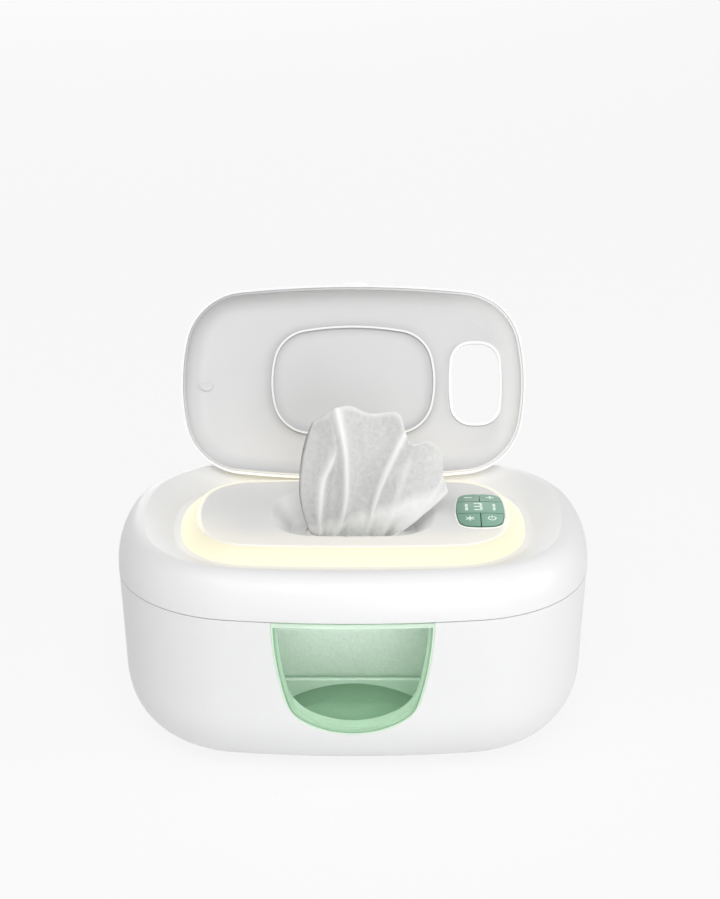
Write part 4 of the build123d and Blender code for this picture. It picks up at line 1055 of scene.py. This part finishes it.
# The back half lies a little behind the front one, and both go down through the slot,
# where they narrow towards its middle. Places are in mm here.
levels, below = 64, 12
slot_y, slot_drop = -1.4, 26
rows, highlight_paints = [], []
for level in range(-below, levels + 1):
    up = max(level, 0) / levels
    drop = max(-level, 0) / below
    front_half = wipe_row(up)
    line = []
    for behind in (1, 0):
        half_row = front_half[:0:-1] if behind else front_half
        for point, highlight_paint in half_row:
            x, z, y = point
            apart = min(1.0, (x - front_half[0][0].x) / 9)
            y += behind * apart * (1.1 + 1.6 * up)
            z -= behind * apart * 2.2 * up
            y += noise.noise(Vector((x / 11, z / 17, 4 * behind))) * (0.2 + 1.1 * up)
            y += noise.noise(Vector((x / 3.4, z / 4.2, 7 + behind))) * 0.22
            x *= 1 - 0.25 * drop
            y = slot_y + (y - slot_y) * (1 - 0.2 * drop) if drop else y - 0.4
            z -= drop * slot_drop
            line.append((x / 1000, y / 1000, z / 1000))
            highlight_paints.append(highlight_paint)
    rows.append(line)
stretched_leaf = 0.00035
drawn_wipe = sheet_mesh("drawn_up_wipe", rows, stretched_leaf)
# The painted highlight is kept on the points for the cloth's colour.
marks = drawn_wipe.data.attributes.new("fold_highlight_paint", "FLOAT", "POINT")
marks.data.foreach_set("value", highlight_paints)
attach(drawn_wipe, "cover")
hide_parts("pulled_wipe")
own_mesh(drawn_wipe)

# --- Camera ------------------------------------------------------------------
# A long lens on a stand 1.4 m in front of the warmer and 0.7 m over the floor, looking
# down on the lid.
camera_data = bpy.data.cameras.new("camera")
camera_data.lens = 121.34
camera_data.sensor_width = 36
camera = bpy.data.objects.new("camera", camera_data)
bpy.context.scene.collection.objects.link(camera)
camera.location = (0.003552, -1.41669, 0.73715)
camera.rotation_euler = (math.radians(67.396), 0, 0)
camera_data.clip_start, camera_data.clip_end = 0.05, 30
bpy.context.scene.camera = camera

# --- Floor and room ----------------------------------------------------------
# A painted floor in an even white room. The floor is as pale as the backdrop where it is
# seen, and lights the warmer as paint.
bpy.ops.mesh.primitive_plane_add(size=12, location=(0, 0, 0))
floor = bpy.context.object
floor.name = "floor"
backdrop = linear("#f8f8f8")


def seen_straight(tree):
    """One where a thing is seen by the camera, or in a shiny or through a clear face."""
    path = add_node(tree, "LightPath")
    clear = add_node(
        tree, "Math", {"operation": "MAXIMUM"},
        {0: path.outputs["Is Glossy Ray"], 1: path.outputs["Is Transmission Ray"]},
    )
    return add_node(
        tree, "Math", {"operation": "MAXIMUM"},
        {0: path.outputs["Is Camera Ray"], 1: clear},
    ).outputs[0]


floor_material, tree, shader, place = start_material(
    "matt_floor_paint", {"Roughness": 0.9, "Base Color": linear("#eaeaea")}
)
glow = add_node(tree, "Emission", {"Color": backdrop, "Strength": 0.92})
soft = add_node(tree, "BsdfDiffuse", {"Color": linear("#5c5c5c")})
pale = add_node(tree, "AddShader", {}, {0: glow, 1: soft})
painted = add_node(tree, "MixShader", {}, {0: seen_straight(tree), 1: shader, 2: pale})
tree.links.new(painted.outputs[0], tree.nodes["Material Output"].inputs["Surface"])
floor.data.materials.append(floor_material)

world = bpy.data.worlds.new("white_room")
bpy.context.scene.world = world
world.use_nodes = True
tree = world.node_tree
room = tree.nodes["Background"]
room.inputs["Color"].default_value = linear("#ffffff")
room.inputs["Strength"].default_value = 0.34
white = add_node(tree, "Background", {"Color": backdrop, "Strength": 1.0})
walls = add_node(tree, "MixShader", {}, {0: seen_straight(tree), 1: room, 2: white})
tree.links.new(walls.outputs[0], tree.nodes["World Output"].inputs["Surface"])

# --- Lamps of the room -------------------------------------------------------
# Soft square lamps on stands round the front and the right. The window's lamp stands in
# for daylight in the bay behind it, and the ring's lamp for the glow on the lid's foot, so
# it goes with the cover.
for name, stand, aimed_at, size, watts, colour in (
    ("key_lamp", (0.0, -1.1, 1.3), (0, 0, 0.08), (0.9, 0.9), 8.0, "#ffffff"),
    ("left_lamp", (-0.8, -0.6, 1.5), (0, 0, 0.12), (0.6, 0.6), 2.5, "#ffffff"),
    ("front_lamp", (0.5, -1.9, 0.4), (0, 0, 0.08), (0.9, 0.9), 8.5, "#ffffff"),
    ("right_lamp", (1.7, -0.5, 0.6), (0, 0, 0.08), (0.8, 0.8), 6.5, "#ffffff"),
    ("top_lamp", (0.1, 0.1, 1.6), (0, 0, 0.08), (1.0, 1.0), 1.5, "#ffffff"),
    ("back_lamp", (-0.3, 2.0, 0.45), (0, 0, 0.08), (1.2, 0.8), 7.0, "#ffffff"),
    ("window_lamp", (-0.004, -0.0664, 0.0865), (-0.004, -0.0605, 0.03), (0.066, 0.002), 0.03,
     "#ffffff"),
    ("ring_lamp", (0, 0.046, 0.1125), (0, 0.085, 0.14), (0.13, 0.004), 0.0022, "#fff1c4"),
):
    lamp = bpy.data.lights.new(name, "AREA")
    lamp.shape = "RECTANGLE"
    lamp.size, lamp.size_y = size
    lamp.energy = watts
    lamp.color = linear(colour)[:3]
    holder = bpy.data.objects.new(name, lamp)
    bpy.context.scene.collection.objects.link(holder)
    holder.visible_camera = False
    holder.location = stand
    aim = Vector(aimed_at) - Vector(stand)
    holder.rotation_euler = aim.to_track_quat("-Z", "Y").to_euler()
    if name == "ring_lamp":
        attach(holder, "cover")

bpy.context.scene.view_settings.view_transform = "Standard"
